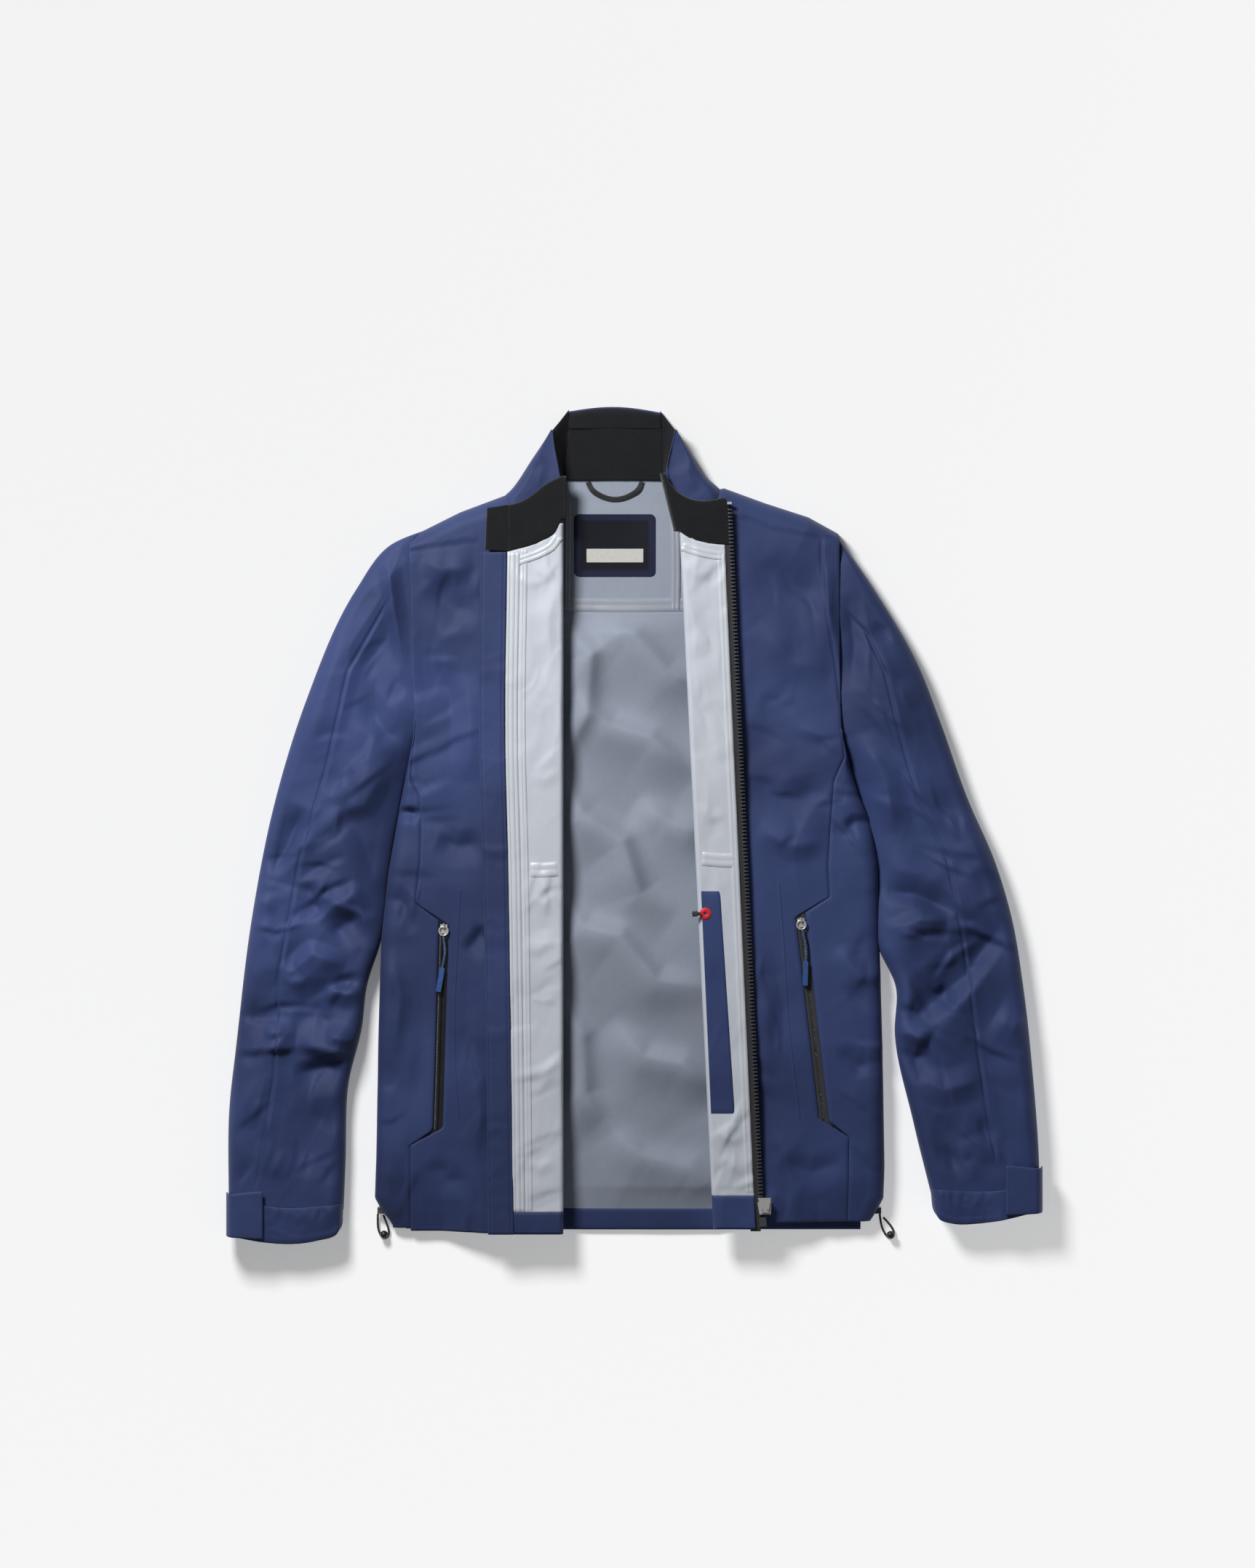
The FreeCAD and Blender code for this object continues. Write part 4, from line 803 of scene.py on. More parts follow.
patch_points, patch_faces = [], []
for sign, side in ((-1, "right"), (1, "left")):
    rows = np.linspace(0, 1, 22)
    top_line, foot_line = smooth_line(CUFF_TOP[sign], 300), smooth_line(CUFF_FOOT[sign], 300)
    across_cuff = 114.0 if sign < 0 else 108.0
    offset, share = tube_ring(across_cuff, 12, 12, 40)
    w = offset / across_cuff
    pick = lambda line, w: np.stack([np.interp(w, np.linspace(0, 1, 300), line[:, axis])
                                     for axis in (0, 1)], 1)
    upper, lower = pick(top_line, w), pick(foot_line, w)
    t = rows[:, None, None]
    flat = upper[None] * (1 - t) + lower[None] * t
    x, y = flat[..., 0], flat[..., 1]
    hem_ridge = 0.7 * np.exp(-((rows - 0.88) / 0.08) ** 2) - 0.8 * np.exp(-((rows
            - 0.02) / 0.03) ** 2)
    gathers = 1.6 * crumple(x, y * 0.3, 8, 65 + sign, 1.5,
                            1.4) * np.exp(-(((rows - 0.2) / 0.22) ** 2))[:, None]
    top = CUFF_RISE - 1.2 + gathers + 0.7 * drift(x, y, 22, 61) + 0.5 * crumple(x, y, 12, 62 + sign,
            1.4, 1.5) + hem_ridge[:, None]
    tab_side = np.clip((np.abs(x) - 352) / 14, 0, 1)
    top = top * (1 - tab_side) + (CUFF_RISE - 0.4) * tab_side
    top = np.minimum(top, CUFF_RISE) - (1 - tab_side) * (1.5 + 3.0 * rows[:, None] ** 2)
    z = 0.6 + (top - 0.6) * share[None]
    cloth(f"{side}_cuff_band", np.stack([x, y, z], -1), True, [shell, lining], "jacket",
          [f"{side}_cuff"], thick=1.6, closed=True)

    # the tab, flat over the cuff and then down round its outer edge
    cuff_out = 396.6 if sign < 0 else 406.6
    levels = np.linspace(-364.5, -406.5, 26) if sign < 0 else np.linspace(-339, -383, 26)
    quarter = np.linspace(math.pi / 2, 0.1, 10)
    reach = np.concatenate([np.linspace(cuff_out - 36, cuff_out - 8, 16),
                            cuff_out - 7 + 9.2 * np.cos(quarter)])
    height = np.concatenate([np.full(16, 39.7), 18 + 21.7 * np.sin(quarter)])
    x = np.repeat(reach[None] * sign, len(levels), 0)
    slope = np.clip((cuff_out - reach) / 30, 0, 1)
    y = levels[:, None] + (3.2 * slope)[None] * np.linspace(1, -0.6, len(levels))[:, None]
    rim = np.minimum(np.linspace(0, 1, len(levels)), np.linspace(1, 0, len(levels)))[:, None]
    z = height[None] + 0.35 * drift(x, y, 14, 71) - 0.5 * np.exp(-rim / 0.03)
    cloth(f"{side}_cuff_tab_cloth", np.stack([x, y, z], -1), True, [shell], f"{side}_cuff_tab",
          [f"{side}_cuff_tab"], thick=1.5)
    tab_top = lambda x, y: np.full(np.shape(x), 39.85)
    for inset in (2.2, 4.0):
        a, b = levels[0] - inset, levels[-1] + inset
        stitches(f"{side}_tab_stitches", smooth_line([((cuff_out - 8) * sign, a),
                                                      ((cuff_out - 34) * sign, a + 2.4)], 20),
                 tab_top, 2.6)
        stitches(f"{side}_tab_stitches", smooth_line([((cuff_out - 8) * sign, b),
                                                      ((cuff_out - 34) * sign, b - 1.6)], 20),
                 tab_top, 2.6)
    stitches(f"{side}_tab_stitches", smooth_line([((cuff_out - 34) * sign, levels[0] - 1),
                                                  ((cuff_out - 34) * sign, levels[-1] + 1)], 20),
             tab_top, 2.6)
    make_stitches(f"{side}_tab_stitches", navy_thread, f"{side}_cuff_tab")

    # the patch under it
    px, py = np.meshgrid(np.linspace(cuff_out - 25, cuff_out - 6, 40) * sign,
                         np.linspace(levels[0] - 8, levels[-1] + 8, 60))
    rim = np.minimum.reduce([np.abs(px) - cuff_out + 25, cuff_out - 6 - np.abs(px),
                             levels[0] - 8 - py, py - levels[-1] - 8])
    pz = CUFF_RISE - 0.4 + np.where(rim < 0.1, -0.6, 0.8) + 0.25 * drift(px, py, 0.9, 77)
    first = len(patch_points) * 2400
    patch_faces += [tuple(first + corner for corner in face)
                    for face in grid_faces(60, 40, flip=sign > 0)]
    patch_points.append(np.stack([px, py, pz], -1).reshape(-1, 3))
mesh_piece("cuff_grip_patches", np.concatenate(patch_points), patch_faces, [hook_cloth], "jacket",
           ["cuff_patches"])

# ---- Collar ---------------------------------------------------------------------------------
# The standing collar is the shell outside and brushed fleece inside, with a plain band along
# the top. At the back it lies open, and at each side it turns over to the front.
place, along, done = new_material("brushed_fleece", 0.95, Sheen_Weight=0.28, Sheen_Roughness=0.5,
                                  Specular_IOR_Level=0.1)
pile = place.noise(0.0011, 4, 0.7)
fleece = done((pile * 0.6 + place.noise(0.012, 3) * 0.4).blend((0.004, 0.0042, 0.0052),
        (0.016, 0.017, 0.0195)), pile,
              0.0011, strength=0.8)
place, along, done = new_material("collar_band_cloth", 0.66, Sheen_Weight=0.06,
                                  Specular_IOR_Level=0.16)
across, up, _ = along.split()
weave = across.wave(0.0006) * 0.5 + up.wave(0.0006) * 0.5
band_cloth = done((place.noise(0.02, 3) * 0.7 + weave * 0.3).blend((0.0035, 0.0038, 0.0055),
        (0.010, 0.0108, 0.0145)), weave,
                  0.0001)


def between_curves(first, second, rows, columns, heights):
    """A grid from one line to another, with heights given by share across and along."""
    first, second = smooth_line(first, rows), smooth_line(second, rows)
    w = np.linspace(0, 1, columns)[None, :, None]
    flat = first[:, None] * (1 - w) + second[:, None] * w
    s = np.repeat(np.linspace(0, 1, rows)[:, None], columns, 1)
    z = heights(flat[..., 0], flat[..., 1], np.repeat(w[..., 0], rows, 0), s)
    return np.concatenate([flat, z[..., None]], -1)


def collar_back_height(x, y, w, s):
    return 6.0 + 0.5 * drift(x, y, 30, 81) + 0.16 * drift(x, y, 2.2, 82)


cloth("collar_fleece", between_curves([(-66, 342.2), (-63, 368), (-60.5, 393)],
                                      [(33, 342.2), (32.5, 368), (32, 393)], 60, 100,
                                      collar_back_height), True, [fleece], "jacket",
      ["collar_fleece_back"], thick=2.4)


def arched(sheet):
    """The collar's top edge rises a little in the middle."""
    w = np.clip((sheet[..., 0] + 60) / 90, 0, 1)
    sheet[..., 1] += (5.0 * np.sin(math.pi * w) - 2.5) * np.clip((sheet[..., 1] - 392) / 20, 0, 1)
    return sheet


def band_height(x, y, w, s):
    turned_in = np.clip((s - 0.72) / 0.28, 0, 1) ** 2.2
    return 6.6 - 5.4 * turned_in - 0.9 * np.exp(-s / 0.03) + 0.4 * drift(x, y, 18, 84)


band_sheet = arched(between_curves([(-60.5, 392), (-60.5, 400), (-59.5, 412)],
                                   [(32, 392), (31.8, 400), (30.5, 411)], 26, 70, band_height))
cloth("collar_band", band_sheet, True, [band_cloth], "jacket",
      ["collar_top_band"], thick=1.2)
outer_sheet = arched(between_curves([(-78, 338), (-74, 370), (-64, 408), (-60, 413)],
                                    [(48, 338), (44, 370), (35, 407), (30.5, 412)], 50, 60,
                                    lambda x, y, w, s: 1.5 + 0.3 * drift(x, y, 20, 85)))
cloth("collar_outer_shell", outer_sheet, True, [shell], "jacket", ["collar_outer_back"])
COLLAR_TURN = {-1: ([(-60, 412), (-60.5, 400), (-62, 370), (-66, 336)],
                    [(-76.5, 389), (-74, 372), (-70, 352), (-66.5, 336)]),
               1: ([(30.5, 411), (32, 400), (32.5, 370), (33, 336)],
                   [(46, 389), (41.5, 372), (37, 352), (35.5, 336)])}
COLLAR_SIDE = {-1: ([(-76.5, 389), (-74, 372), (-70, 352), (-67.5, 336), (-67.5, 312)],
                    [(-77.5, 390), (-97, 362), (-118, 332), (-127, 323), (-132, 308)]),
               1: ([(46, 389), (41.5, 372), (37, 352), (36, 336), (42, 312)],
                   [(47, 390), (62, 368), (80, 342), (90, 333), (97, 318)])}
for sign, side in ((-1, "right"), (1, "left")):
    inner, outer = COLLAR_TURN[sign]
    cloth(f"{side}_collar_turn", between_curves(inner, outer, 60, 18, lambda x, y, w,
                                                s: 5.6 + 21.4 * w ** 1.6
                                                - 3.5 * np.exp(-s / 0.05) * w
                                                + 0.2 * drift(x, y, 9, 86)),
          True, [band_cloth], "jacket", thick=1.4)
    inner, outer = COLLAR_SIDE[sign]
    side_sheet = between_curves(inner, outer, 80, 44, lambda x, y, w, s: 1.0 + (
        27.0 + 1.3 * raised(x, y, [(-92, 372), (-86, 350), (-92, 330)] if sign < 0
                            else [(60, 366), (58, 346), (66, 328)], 1, 5, 9)
        + 0.8 * drift(x, y, 14, 87) - 1.0) * np.sqrt(np.clip(1
                - np.clip((w - 0.72) / 0.28, 0, 1) ** 2, 0, 1)) + 0.8 * np.exp(-w / 0.05))
    cloth(f"{side}_collar_outside", side_sheet, True, [shell, band_cloth], "jacket",
          [f"{side}_collar_side"])

# ---- Label and locker loop ------------------------------------------------------------------
# A printed satin label with a pale writing strip, bonded to the lining, and a loop of black
# ribbon to hang the jacket by, sewn into the collar seam.
LABEL = (-55, 246, 26, 308)


def rounded_panel(name, box, corner, surface, lift, materials, body, nodes=(), cell=1.6):
    """A flat piece with rounded corners that follows a surface, its rim let down into it."""
    x0, y0, x1, y1 = box
    columns, rows = max(6, int((x1 - x0) / cell)), max(6, int((y1 - y0) / cell))
    rim = np.array([0, 0.03, 0.5])
    u = np.concatenate([rim, np.linspace(1.2, x1 - x0 - 1.2, columns), (x1 - x0) - rim[::-1]])
    v = np.concatenate([rim, np.linspace(1.2, y1 - y0 - 1.2, rows), (y1 - y0) - rim[::-1]])
    u, v = np.meshgrid(u, v)
    du = np.maximum(corner - np.minimum(v, y1 - y0 - v), 0)
    inset = corner - np.sqrt(np.maximum(corner ** 2 - du ** 2, 0))
    u = inset + u * (x1 - x0 - 2 * inset) / (x1 - x0)
    x = x0 + u
    y = y0 + v
    edge = np.ones(u.shape)
    edge[[0, -1]] = edge[:, [0, -1]] = -0.5
    z = surface(x, y) + lift * edge
    return cloth(name, np.stack([x, y, z], -1), True, materials, body, nodes, thick=0)


place, along, done = new_material("label_satin", 0.42, Specular_IOR_Level=0.25)
x_at, y_at, _ = place.split()
border = (x_at + 0.0145).maths("ABSOLUTE", x_at + 0.0145)
border = border.between(0.0325, 0.0355).maths("MAXIMUM", border.between(0.0325, 0.0355),
                                             (y_at - 0.277).maths("ABSOLUTE",
                                                     y_at - 0.277).between(0.0235, 0.0265))
label_cloth = done(border.blend((0.0035, 0.0042, 0.010), (0.0095, 0.0125, 0.040)),
                   place.noise(0.0006), 0.00004)
label = rounded_panel("printed_label", LABEL, 5, back_height, 0.75, [label_cloth], "jacket",
                      ["name_label"])
strip_paint = mottled_finish("writing_strip", 0.7, (0.004, 3), (0.50, 0.49, 0.45),
                             (0.60, 0.59, 0.55), (0.0008,), 0.00005)
rounded_panel("label_writing_strip", (-42.5, 260, 14, 273.6), 0.4, back_height, 1.0, [strip_paint],
              "jacket")

place, along, done = new_material("ribbon_twill", 0.6, Sheen_Weight=0.3)
across, up, _ = place.split()
twill = (across + up).wave(0.0009)
ribbon_cloth = done(twill.blend((0.008, 0.008, 0.010), (0.02, 0.02, 0.024)), twill, 0.00015)
loop_line = [(-41, 340.2), (-37.5, 333), (-28, 326), (-14, 322.6), (0, 326), (9.5, 333),
             (13, 340.2)]
loop_height = lambda x, y: 3.0 + 1.2 * np.exp(-((y - 331) / 5) ** 2)
ribbon("locker_loop_ribbon", loop_line, 5.6, loop_height, [ribbon_cloth], "locker_loop",
       ["locker_loop"], lift=0.5, ends=0,
       profile=[(-1, -0.3), (-0.9, 0.8), (-0.4, 1), (0.4, 1), (0.9, 0.8), (1, -0.3)])

# ---- Folded right front -----------------------------------------------------------------
# The opening edge of the wearer's right front, turned over along its fold: lining outwards, taped
# seams, a fleece collar end, and the double storm flap that covers the zip when it is closed.
FOLD_AXIS = 31.0


def with_fold(sheet_x, sheet_y, sheet_z, radius=4.0, steps=9):
    """The half-round of a fold, joined to the first column of a turned-over sheet."""
    turn = np.linspace(-math.pi / 2, math.pi / 2, steps)[:-1]
    side = np.sign(sheet_x[0, 0] - sheet_x[0, -1])
    out = radius * np.cos(turn)[None] * side
    x = sheet_x[:, :1] + np.concatenate([[[-6.0 * side]], out], 1)
    y = np.repeat(sheet_y[:, :1], len(turn) + 1, 1)
    top = sheet_z[:, :1]
    z = FOLD_AXIS + np.where(np.sin(turn)[None] < 0, radius, top - FOLD_AXIS) * np.sin(turn)[None]
    z = np.concatenate([z[:, :1] - 0.7, z], 1)
    return np.stack([np.concatenate([x, sheet_x], 1), np.concatenate([y, sheet_y], 1),
                     np.concatenate([z, sheet_z], 1)], -1)


LAPEL_CREASES = {-1: [((-105, 225, -68, 268), 120, 7, 0.7), ((-100, 60, -68, 220), 80, 7, 0.6),
                      ((-100, -70, -68, -55), 90, 6, 0.7), ((-104, -240, -70, -70), 20, 10, 0.7),
                      ((-104, -378, -70, -240), 30, 9, 0.7)],
                 1: [((54, 235, 92, 272), 60, 7, 0.7), ((62, 20, 96, 230), 110, 8, 0.6),
                     ((86, -362, 116, -288), 40, 8, 0.8)]}


def lapel_height(x, y):
    z = 36.2 + 0.55 * drift(x, y, 40, 91) + 0.5 * crumple(x, y, 22, 93, 1.4, 2.2)
    if np.size(x) > 40 and np.max(x) - np.min(x) < 90:
        sign = 1 if np.mean(x) > 0 else -1
        z = z + creases(x, y, 80 + sign, LAPEL_CREASES[sign])
    for line, height, left, right in LAPEL_FOLDS:
        z = z + raised(x, y, line, height, left, right)
    return np.maximum(z, 35.1)


LAPEL_FOLDS = [([(-68, 262), (-84, 240), (-104, 236)], 1.6, 5, 9),
               ([(-70, 238), (-80, 200), (-76, 150)], 1.2, 5, 9),
               ([(-68, 52), (-84, 44), (-98, 50)], 1.2, 7, 5),
               ([(-70, -66), (-84, -78), (-100, -74)], 1.5, 8, 5),
               ([(-72, -110), (-90, -124), (-104, -122)], 1.3, 5, 8),
               ([(-70, -170), (-86, -176), (-102, -168)], 1.2, 7, 4),
               ([(-72, -240), (-88, -262), (-104, -262)], 1.0, 8, 6),
               ([(-72, -330), (-88, -338), (-104, -332)], 1.2, 6, 5),
               ([(52, 262), (66, 246), (84, 248)], 1.6, 8, 5),
               ([(56, 236), (66, 190), (64, 150)], 1.3, 8, 5),
               ([(66, 20), (80, 6), (96, 10)], 1.2, 6, 5),
               ([(86, -300), (100, -312), (114, -306)], 1.4, 6, 5),
               ([(84, -340), (96, -330), (110, -344)], 1.5, 5, 6),
               ([(72, 110), (84, 90), (90, 60)], 1.0, 8, 6)]


def facing_piece(name, top, foot, outer, inner, material, nodes,
                 height=lapel_height):
    """Turned-over cloth between two levels, with its half-round fold."""
    rows = max(6, int(abs(np.mean(top(np.array([0.5]))) - foot) / 2.6))
    w = np.linspace(0, 1, 34)
    s_rows = np.linspace(0, 1, rows)[:, None]
    y = top(w)[None] * (1 - s_rows) + foot * s_rows
    x = inner(y[:, :1]) * (1 - w[None]) + outer(y[:, -1:]) * w[None]
    z = height(x, y)
    piece = cloth(name, with_fold(x, y, z), True, [material, shell], None, nodes, thick=0.9)
    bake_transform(piece)
    return piece


END_FOOT = {-1: [(-67, 300), (-74.6, 286.3), (-88, 278.6), (-104, 272.5), (-118.5, 268.5)],
            1: [(49, 289), (56, 283.5), (64.5, 279.5), (80, 276.5), (99, 275.5)]}
END_TOP = {-1: [(-67, 343), (-84, 334), (-97.5, 323), (-116.6, 315), (-118.8, 314.7)],
           1: [(35, 346), (41.6, 334), (55, 323), (68.3, 319), (95, 322)]}
right_inner = lambda y: np.full(np.shape(y), float(FOLD_RIGHT))
facing = facing_piece("right_facing_lining", lambda w: np.interp(-69 - 51 * w,
        np.array(END_FOOT[-1])[::-1, 0],
                                                                np.array(END_FOOT[-1])[::-1, 1]),
                      -383, lambda y: np.full(np.shape(y), -120.0), right_inner, lining,
                      ["right_facing"])
facing_piece("right_facing_hem_cloth", lambda w: np.full(np.shape(w), -382.0), HEM,
             lambda y: np.full(np.shape(y), -120.0),
             right_inner, shell, ["right_facing_hem"],
             height=lambda x, y: lapel_height(x, y) + 0.7 - 1.2 * np.exp(-((y + 383.5) / 1.2) ** 2))


def end_height(x, y):
    return 37.2 + 0.5 * drift(x, y, 24, 95) + 0.14 * drift(x, y, 2.0, 96)


def collar_end(name, sign, nodes):
    foot, top = smooth_line(END_FOOT[sign], 46), smooth_line(END_TOP[sign], 46)
    rows = np.linspace(0, 1, 30)[:, None]
    x = top[None, :, 0] * (1 - rows) + foot[None, :, 0] * rows
    y = top[None, :, 1] * (1 - rows) + foot[None, :, 1] * rows
    z = end_height(x, y) - 1.0 * np.exp(-rows / 0.03) - 0.6 * np.exp(-(1 - rows) / 0.03)
    piece = cloth(name, with_fold(x, y, z, 5.2), True, [fleece, shell], None, nodes,
                  thick=2.0)
    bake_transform(piece)
    return piece


collar_end("right_collar_end_fleece", -1, ["right_collar_end"])
end_flap = between_curves([(-118.8, 314.7), (-130, 312.8), (-140.3, 311.5)],
                          [(-118.5, 268.7), (-130, 269.6), (-142.3, 270.3)], 22, 34,
                          lambda x, y, w, s: end_height(x, y) - 0.2 - 1.1 * np.exp(-s / 0.05)
                          - 0.9 * np.exp(-(1 - s) / 0.06))
cloth("right_collar_flap_fleece", end_flap, True, [fleece, shell], "right_lapel",
      ["right_collar_flap"], thick=2.0)

# the storm flap: two layers of shell, stitched along both edges
FLAP_OUT = [(-147, 268), (-148, 80), (-144.5, -39), (-141.5, -169), (-140, -300), (-139, -404)]
FLAP_IN = [(-120.5, 268), (-122.5, 80), (-119.5, -39), (-117.5, -169), (-115.5, -300),
           (-113.5, -404)]


def flap_height(x, y):
    z = 38.2 + 0.4 * drift(x, y, 32, 97) + 0.25 * crumple(x, y, 14, 98, 0.2, 1.2)
    for level in (-26, 62, 150, -110, -205, -300):
        z = z + raised(x, y, [(-150, level + 3), (-132, level), (-112, level + 2)],
                       1.1 if level == -26 else 0.5, 4, 7)
    return z


flap = between_curves(FLAP_OUT, FLAP_IN, 260, 26, lambda x, y, w,
                      s: flap_height(x, y) - 1.1 * np.exp(-w / 0.02)
                      - 0.9 * np.exp(-(1 - w) / 0.02) - 0.9 * np.exp(-((w - 0.1) / 0.035) ** 2)
                      - 0.9 * np.exp(-((w - 0.9) / 0.035) ** 2))
storm = cloth("storm_flap_cloth", flap, True, [shell], "right_lapel", ["storm_flap"],
              thick=1.6)
for share in (0.075, 0.925):
    stitches("flap_stitches", np.array(smooth_line(FLAP_OUT, 200)) * (1 - share)
             + np.array(smooth_line(FLAP_IN, 200)) * share, flap_height)
make_stitches("flap_stitches", navy_thread, "right_lapel")

# heat-welded tapes over the seams of the lining
place, along, done = new_material("seam_tape", 0.3, Specular_IOR_Level=0.6)
across, up, _ = along.split()
tape_lines = across.wave(0.0017)
seam_tape = done(place.noise(0.02, 3).blend((0.57, 0.60, 0.65), (0.66, 0.69, 0.74)),
                 tape_lines + place.noise(0.003), 0.00012, strength=0.5)
# A darker copy of the seam tape for inside the back: painted shade, as on the lining there.
place, along, done = new_material("seam_tape_painted_shade", 0.32, Specular_IOR_Level=0.6)
shaded_tape_copy = done(place.noise(0.02, 3).blend((0.27, 0.295, 0.35), (0.34, 0.365, 0.42)),
                 place.noise(0.003), 0.00012, strength=0.5)
flat_tape = [(-1, -0.2), (-0.94, 0.9), (-0.5, 1), (-0.1, 1), (0, 0.7), (0.1, 1), (0.5, 1),
             (0.94, 0.9), (1, -0.2)]
ribbon("right_binding_tape",
       [(-113.8, 268), (-115.8, 80), (-113.0, -39), (-111.0, -169), (-108.6, -382)], 12.5,
       lapel_height, [seam_tape], "right_lapel", lift=1.1,
       profile=[(-1, -0.3), (-0.95, 0.9), (-0.5, 1), (-0.44, 0.5), (-0.38, 1), (0.3, 1),
                (0.36, 0.5), (0.42, 1), (0.9, 0.95), (1, -0.3)])
ribbon("right_second_tape", [(-103.4, 271), (-105.2, 80), (-102.4, -39), (-100.6, -169),
                             (-98.4, -382)], 6.5, lapel_height,
       [seam_tape], "right_lapel", lift=0.55, profile=flat_tape)
ribbon("right_collar_tape", [(-118, 256), (-104, 261), (-88, 267), (-76, 274), (-69.5, 284)], 9,
       lapel_height, [seam_tape], "right_lapel", lift=0.7, profile=flat_tape)
ribbon("right_waist_tape", [(-69.5, -44), (-84, -45), (-98, -45)], 15, lapel_height, [seam_tape],
       "right_lapel", lift=0.6, profile=flat_tape)
pale_thread = mottled_finish("pale_thread", 0.6, (0.003,), (0.42, 0.44, 0.48),
                             (0.6, 0.62, 0.66), (0.0005,), 0.0001, Sheen_Weight=0.2)
binding_height = lambda x, y: lapel_height(x, y) + 1.0
for shift in (-4.0, 3.2):
    stitches("right_binding_stitches", smooth_line([(-113.8 + shift, 266), (-115.8 + shift, 80),
                                                    (-113.0 + shift, -39),
                                                    (-111.0 + shift, -169), (-108.6 + shift, -380)],
                                                    200), binding_height, 2.8)
make_stitches("right_binding_stitches", pale_thread, "right_lapel")

# ---- Folded left front ----------------------------------------------------------------------
# The other opening edge: lining outwards with taped seams, an inner pocket of navy nylon with a
# red-stitched eyelet for a drawcord, and the left half of the main zip along the edge.
def zip_line(level):
    return 98.5 + (318 - level) / 722 * 32.5


facing = facing_piece("left_facing_lining", lambda w: np.interp(50 + 49 * w,
        np.array(END_FOOT[1])[:, 0], np.array(END_FOOT[1])[:, 1]),
                      -367, lambda y: zip_line(y) - 6.5, fold_left, lining,
                      ["left_facing"])
facing_piece("left_facing_hem_cloth", lambda w: np.full(np.shape(w), -366.0), -399,
             lambda y: zip_line(y) - 6.5, fold_left, shell,
             ["left_facing_hem"],
             height=lambda x, y: lapel_height(x, y) + 0.7 - 1.2 * np.exp(-((y + 367.5) / 1.2) ** 2))
collar_end("left_collar_end_fleece", 1, ["left_collar_end"])
ribbon("left_collar_tape", [(52, 274), (62, 270), (78, 266), (93, 264)], 9, lapel_height,
       [seam_tape], "left_lapel", lift=0.7, profile=flat_tape)
ribbon("left_waist_tape", [(fold_left(-34) + 1.5, -34), (88, -35.5), (106, -36)], 14, lapel_height,
       [seam_tape], "left_lapel", lift=0.6, profile=flat_tape)
ribbon("left_edge_tape", [(zip_line(268) - 10.5, 268), (zip_line(0) - 10.5, 0),
                          (zip_line(-364) - 10.5, -364)], 7.5, lapel_height,
       [seam_tape], "left_lapel", lift=0.6, profile=flat_tape)
pocket_panel = between_curves([(70.6, -66), (80.4, -285)], [(89.5, -66), (104.0, -285)],
                              100, 20, lambda x, y, w, s: lapel_height(x, y) + 1.1
                              - 1.2 * np.exp(-(1 - w) / 0.03)
                              - 1.0 * np.exp(-s / 0.01) - 1.0 * np.exp(-(1 - s) / 0.01))
panel = cloth("inner_pocket_cloth", pocket_panel, True, [shell], "left_lapel",
              ["inner_pocket"], thick=0)

# the eyelet: a ring of red satin stitches round a small hole, with the drawcord's knotted end
red_thread = mottled_finish("red_satin_thread", 0.42, (0.0012,), (0.62, 0.012, 0.02),
                            (0.86, 0.03, 0.04), (0.0004,), 0.0001, Sheen_Weight=0.2)
eye_x, eye_y, eye_z = 74.8, -88.0, 38.1
bars, bar_faces = [], []
for number in range(44):
    turn = 2 * math.pi * number / 44
    length = 1 + 0.06 * math.sin(number * 2.3)
    for out, side_to, up in ((1.5, 0, 0.15), (3.6, -0.42, 1.0), (3.6, 0.42, 1.0),
                             (5.9 * length, 0, -0.2)):
        bars.append((eye_x + out * math.cos(turn) - side_to * math.sin(turn),
                     eye_y + out * math.sin(turn) + side_to * math.cos(turn), eye_z + up))
    a = 4 * number
    bar_faces += [(a, a + 1, a + 2), (a + 1, a + 3, a + 2)]
disc = len(bars)
for ring, (out, up) in enumerate(((1.4, -0.3), (2.2, 0.35), (3.8, 0.55), (5.3, 0.25), (5.9, -0.5))):
    for number in range(44):
        turn = 2 * math.pi * number / 44
        bars.append((eye_x + out * math.cos(turn), eye_y + out * math.sin(turn), eye_z + up))
bar_faces += [tuple(disc + corner for corner in face) for face in grid_faces(5, 44, closed=True)]
mesh_piece("eyelet_stitching", bars, bar_faces, [red_thread], "left_lapel",
           ["pocket_eyelet"])

place, along, done = new_material("flecked_black_cord", 0.7, Sheen_Weight=0.3)
fleck = place.noise(0.0009, 1).between(0.6, 0.68)
plait = place.noise(0.0005, 1)
black_cord = done(fleck.blend((0.008, 0.009, 0.012), (0.20, 0.21, 0.24)), plait, 0.0002)
bpy.ops.mesh.primitive_uv_sphere_add(segments=24, ring_count=16, radius=1, location=(0, 0, 0))
knot = bpy.context.object
knot.name = "drawcord_knot"
low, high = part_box("pocket_toggle")
middle_x, middle_y, middle_z = (low + high) / 2
for vertex in knot.data.vertices:
    x, y, z = vertex.co
    along_knot = (x + 1) / 2
    girth = 2.3 + 1.5 * math.exp(-((along_knot - 0.12) / 0.14) ** 2) + 0.9 * math.exp(-((along_knot
            - 0.45) / 0.12) ** 2) - 0.7 * along_knot
    swirl = 1 + 0.07 * math.sin(5 * math.atan2(z, y) + along_knot * 16)
    vertex.co = (middle_x + x * 0.0048, middle_y
                 + y * girth * swirl * MM * (1.25 if along_knot < 0.25 else 1),
                 middle_z + z * girth * swirl * MM * 0.72)
knot.data.materials.append(black_cord)
knot.data.shade_smooth()
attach(knot, "pocket_toggle")
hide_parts("pocket_toggle")

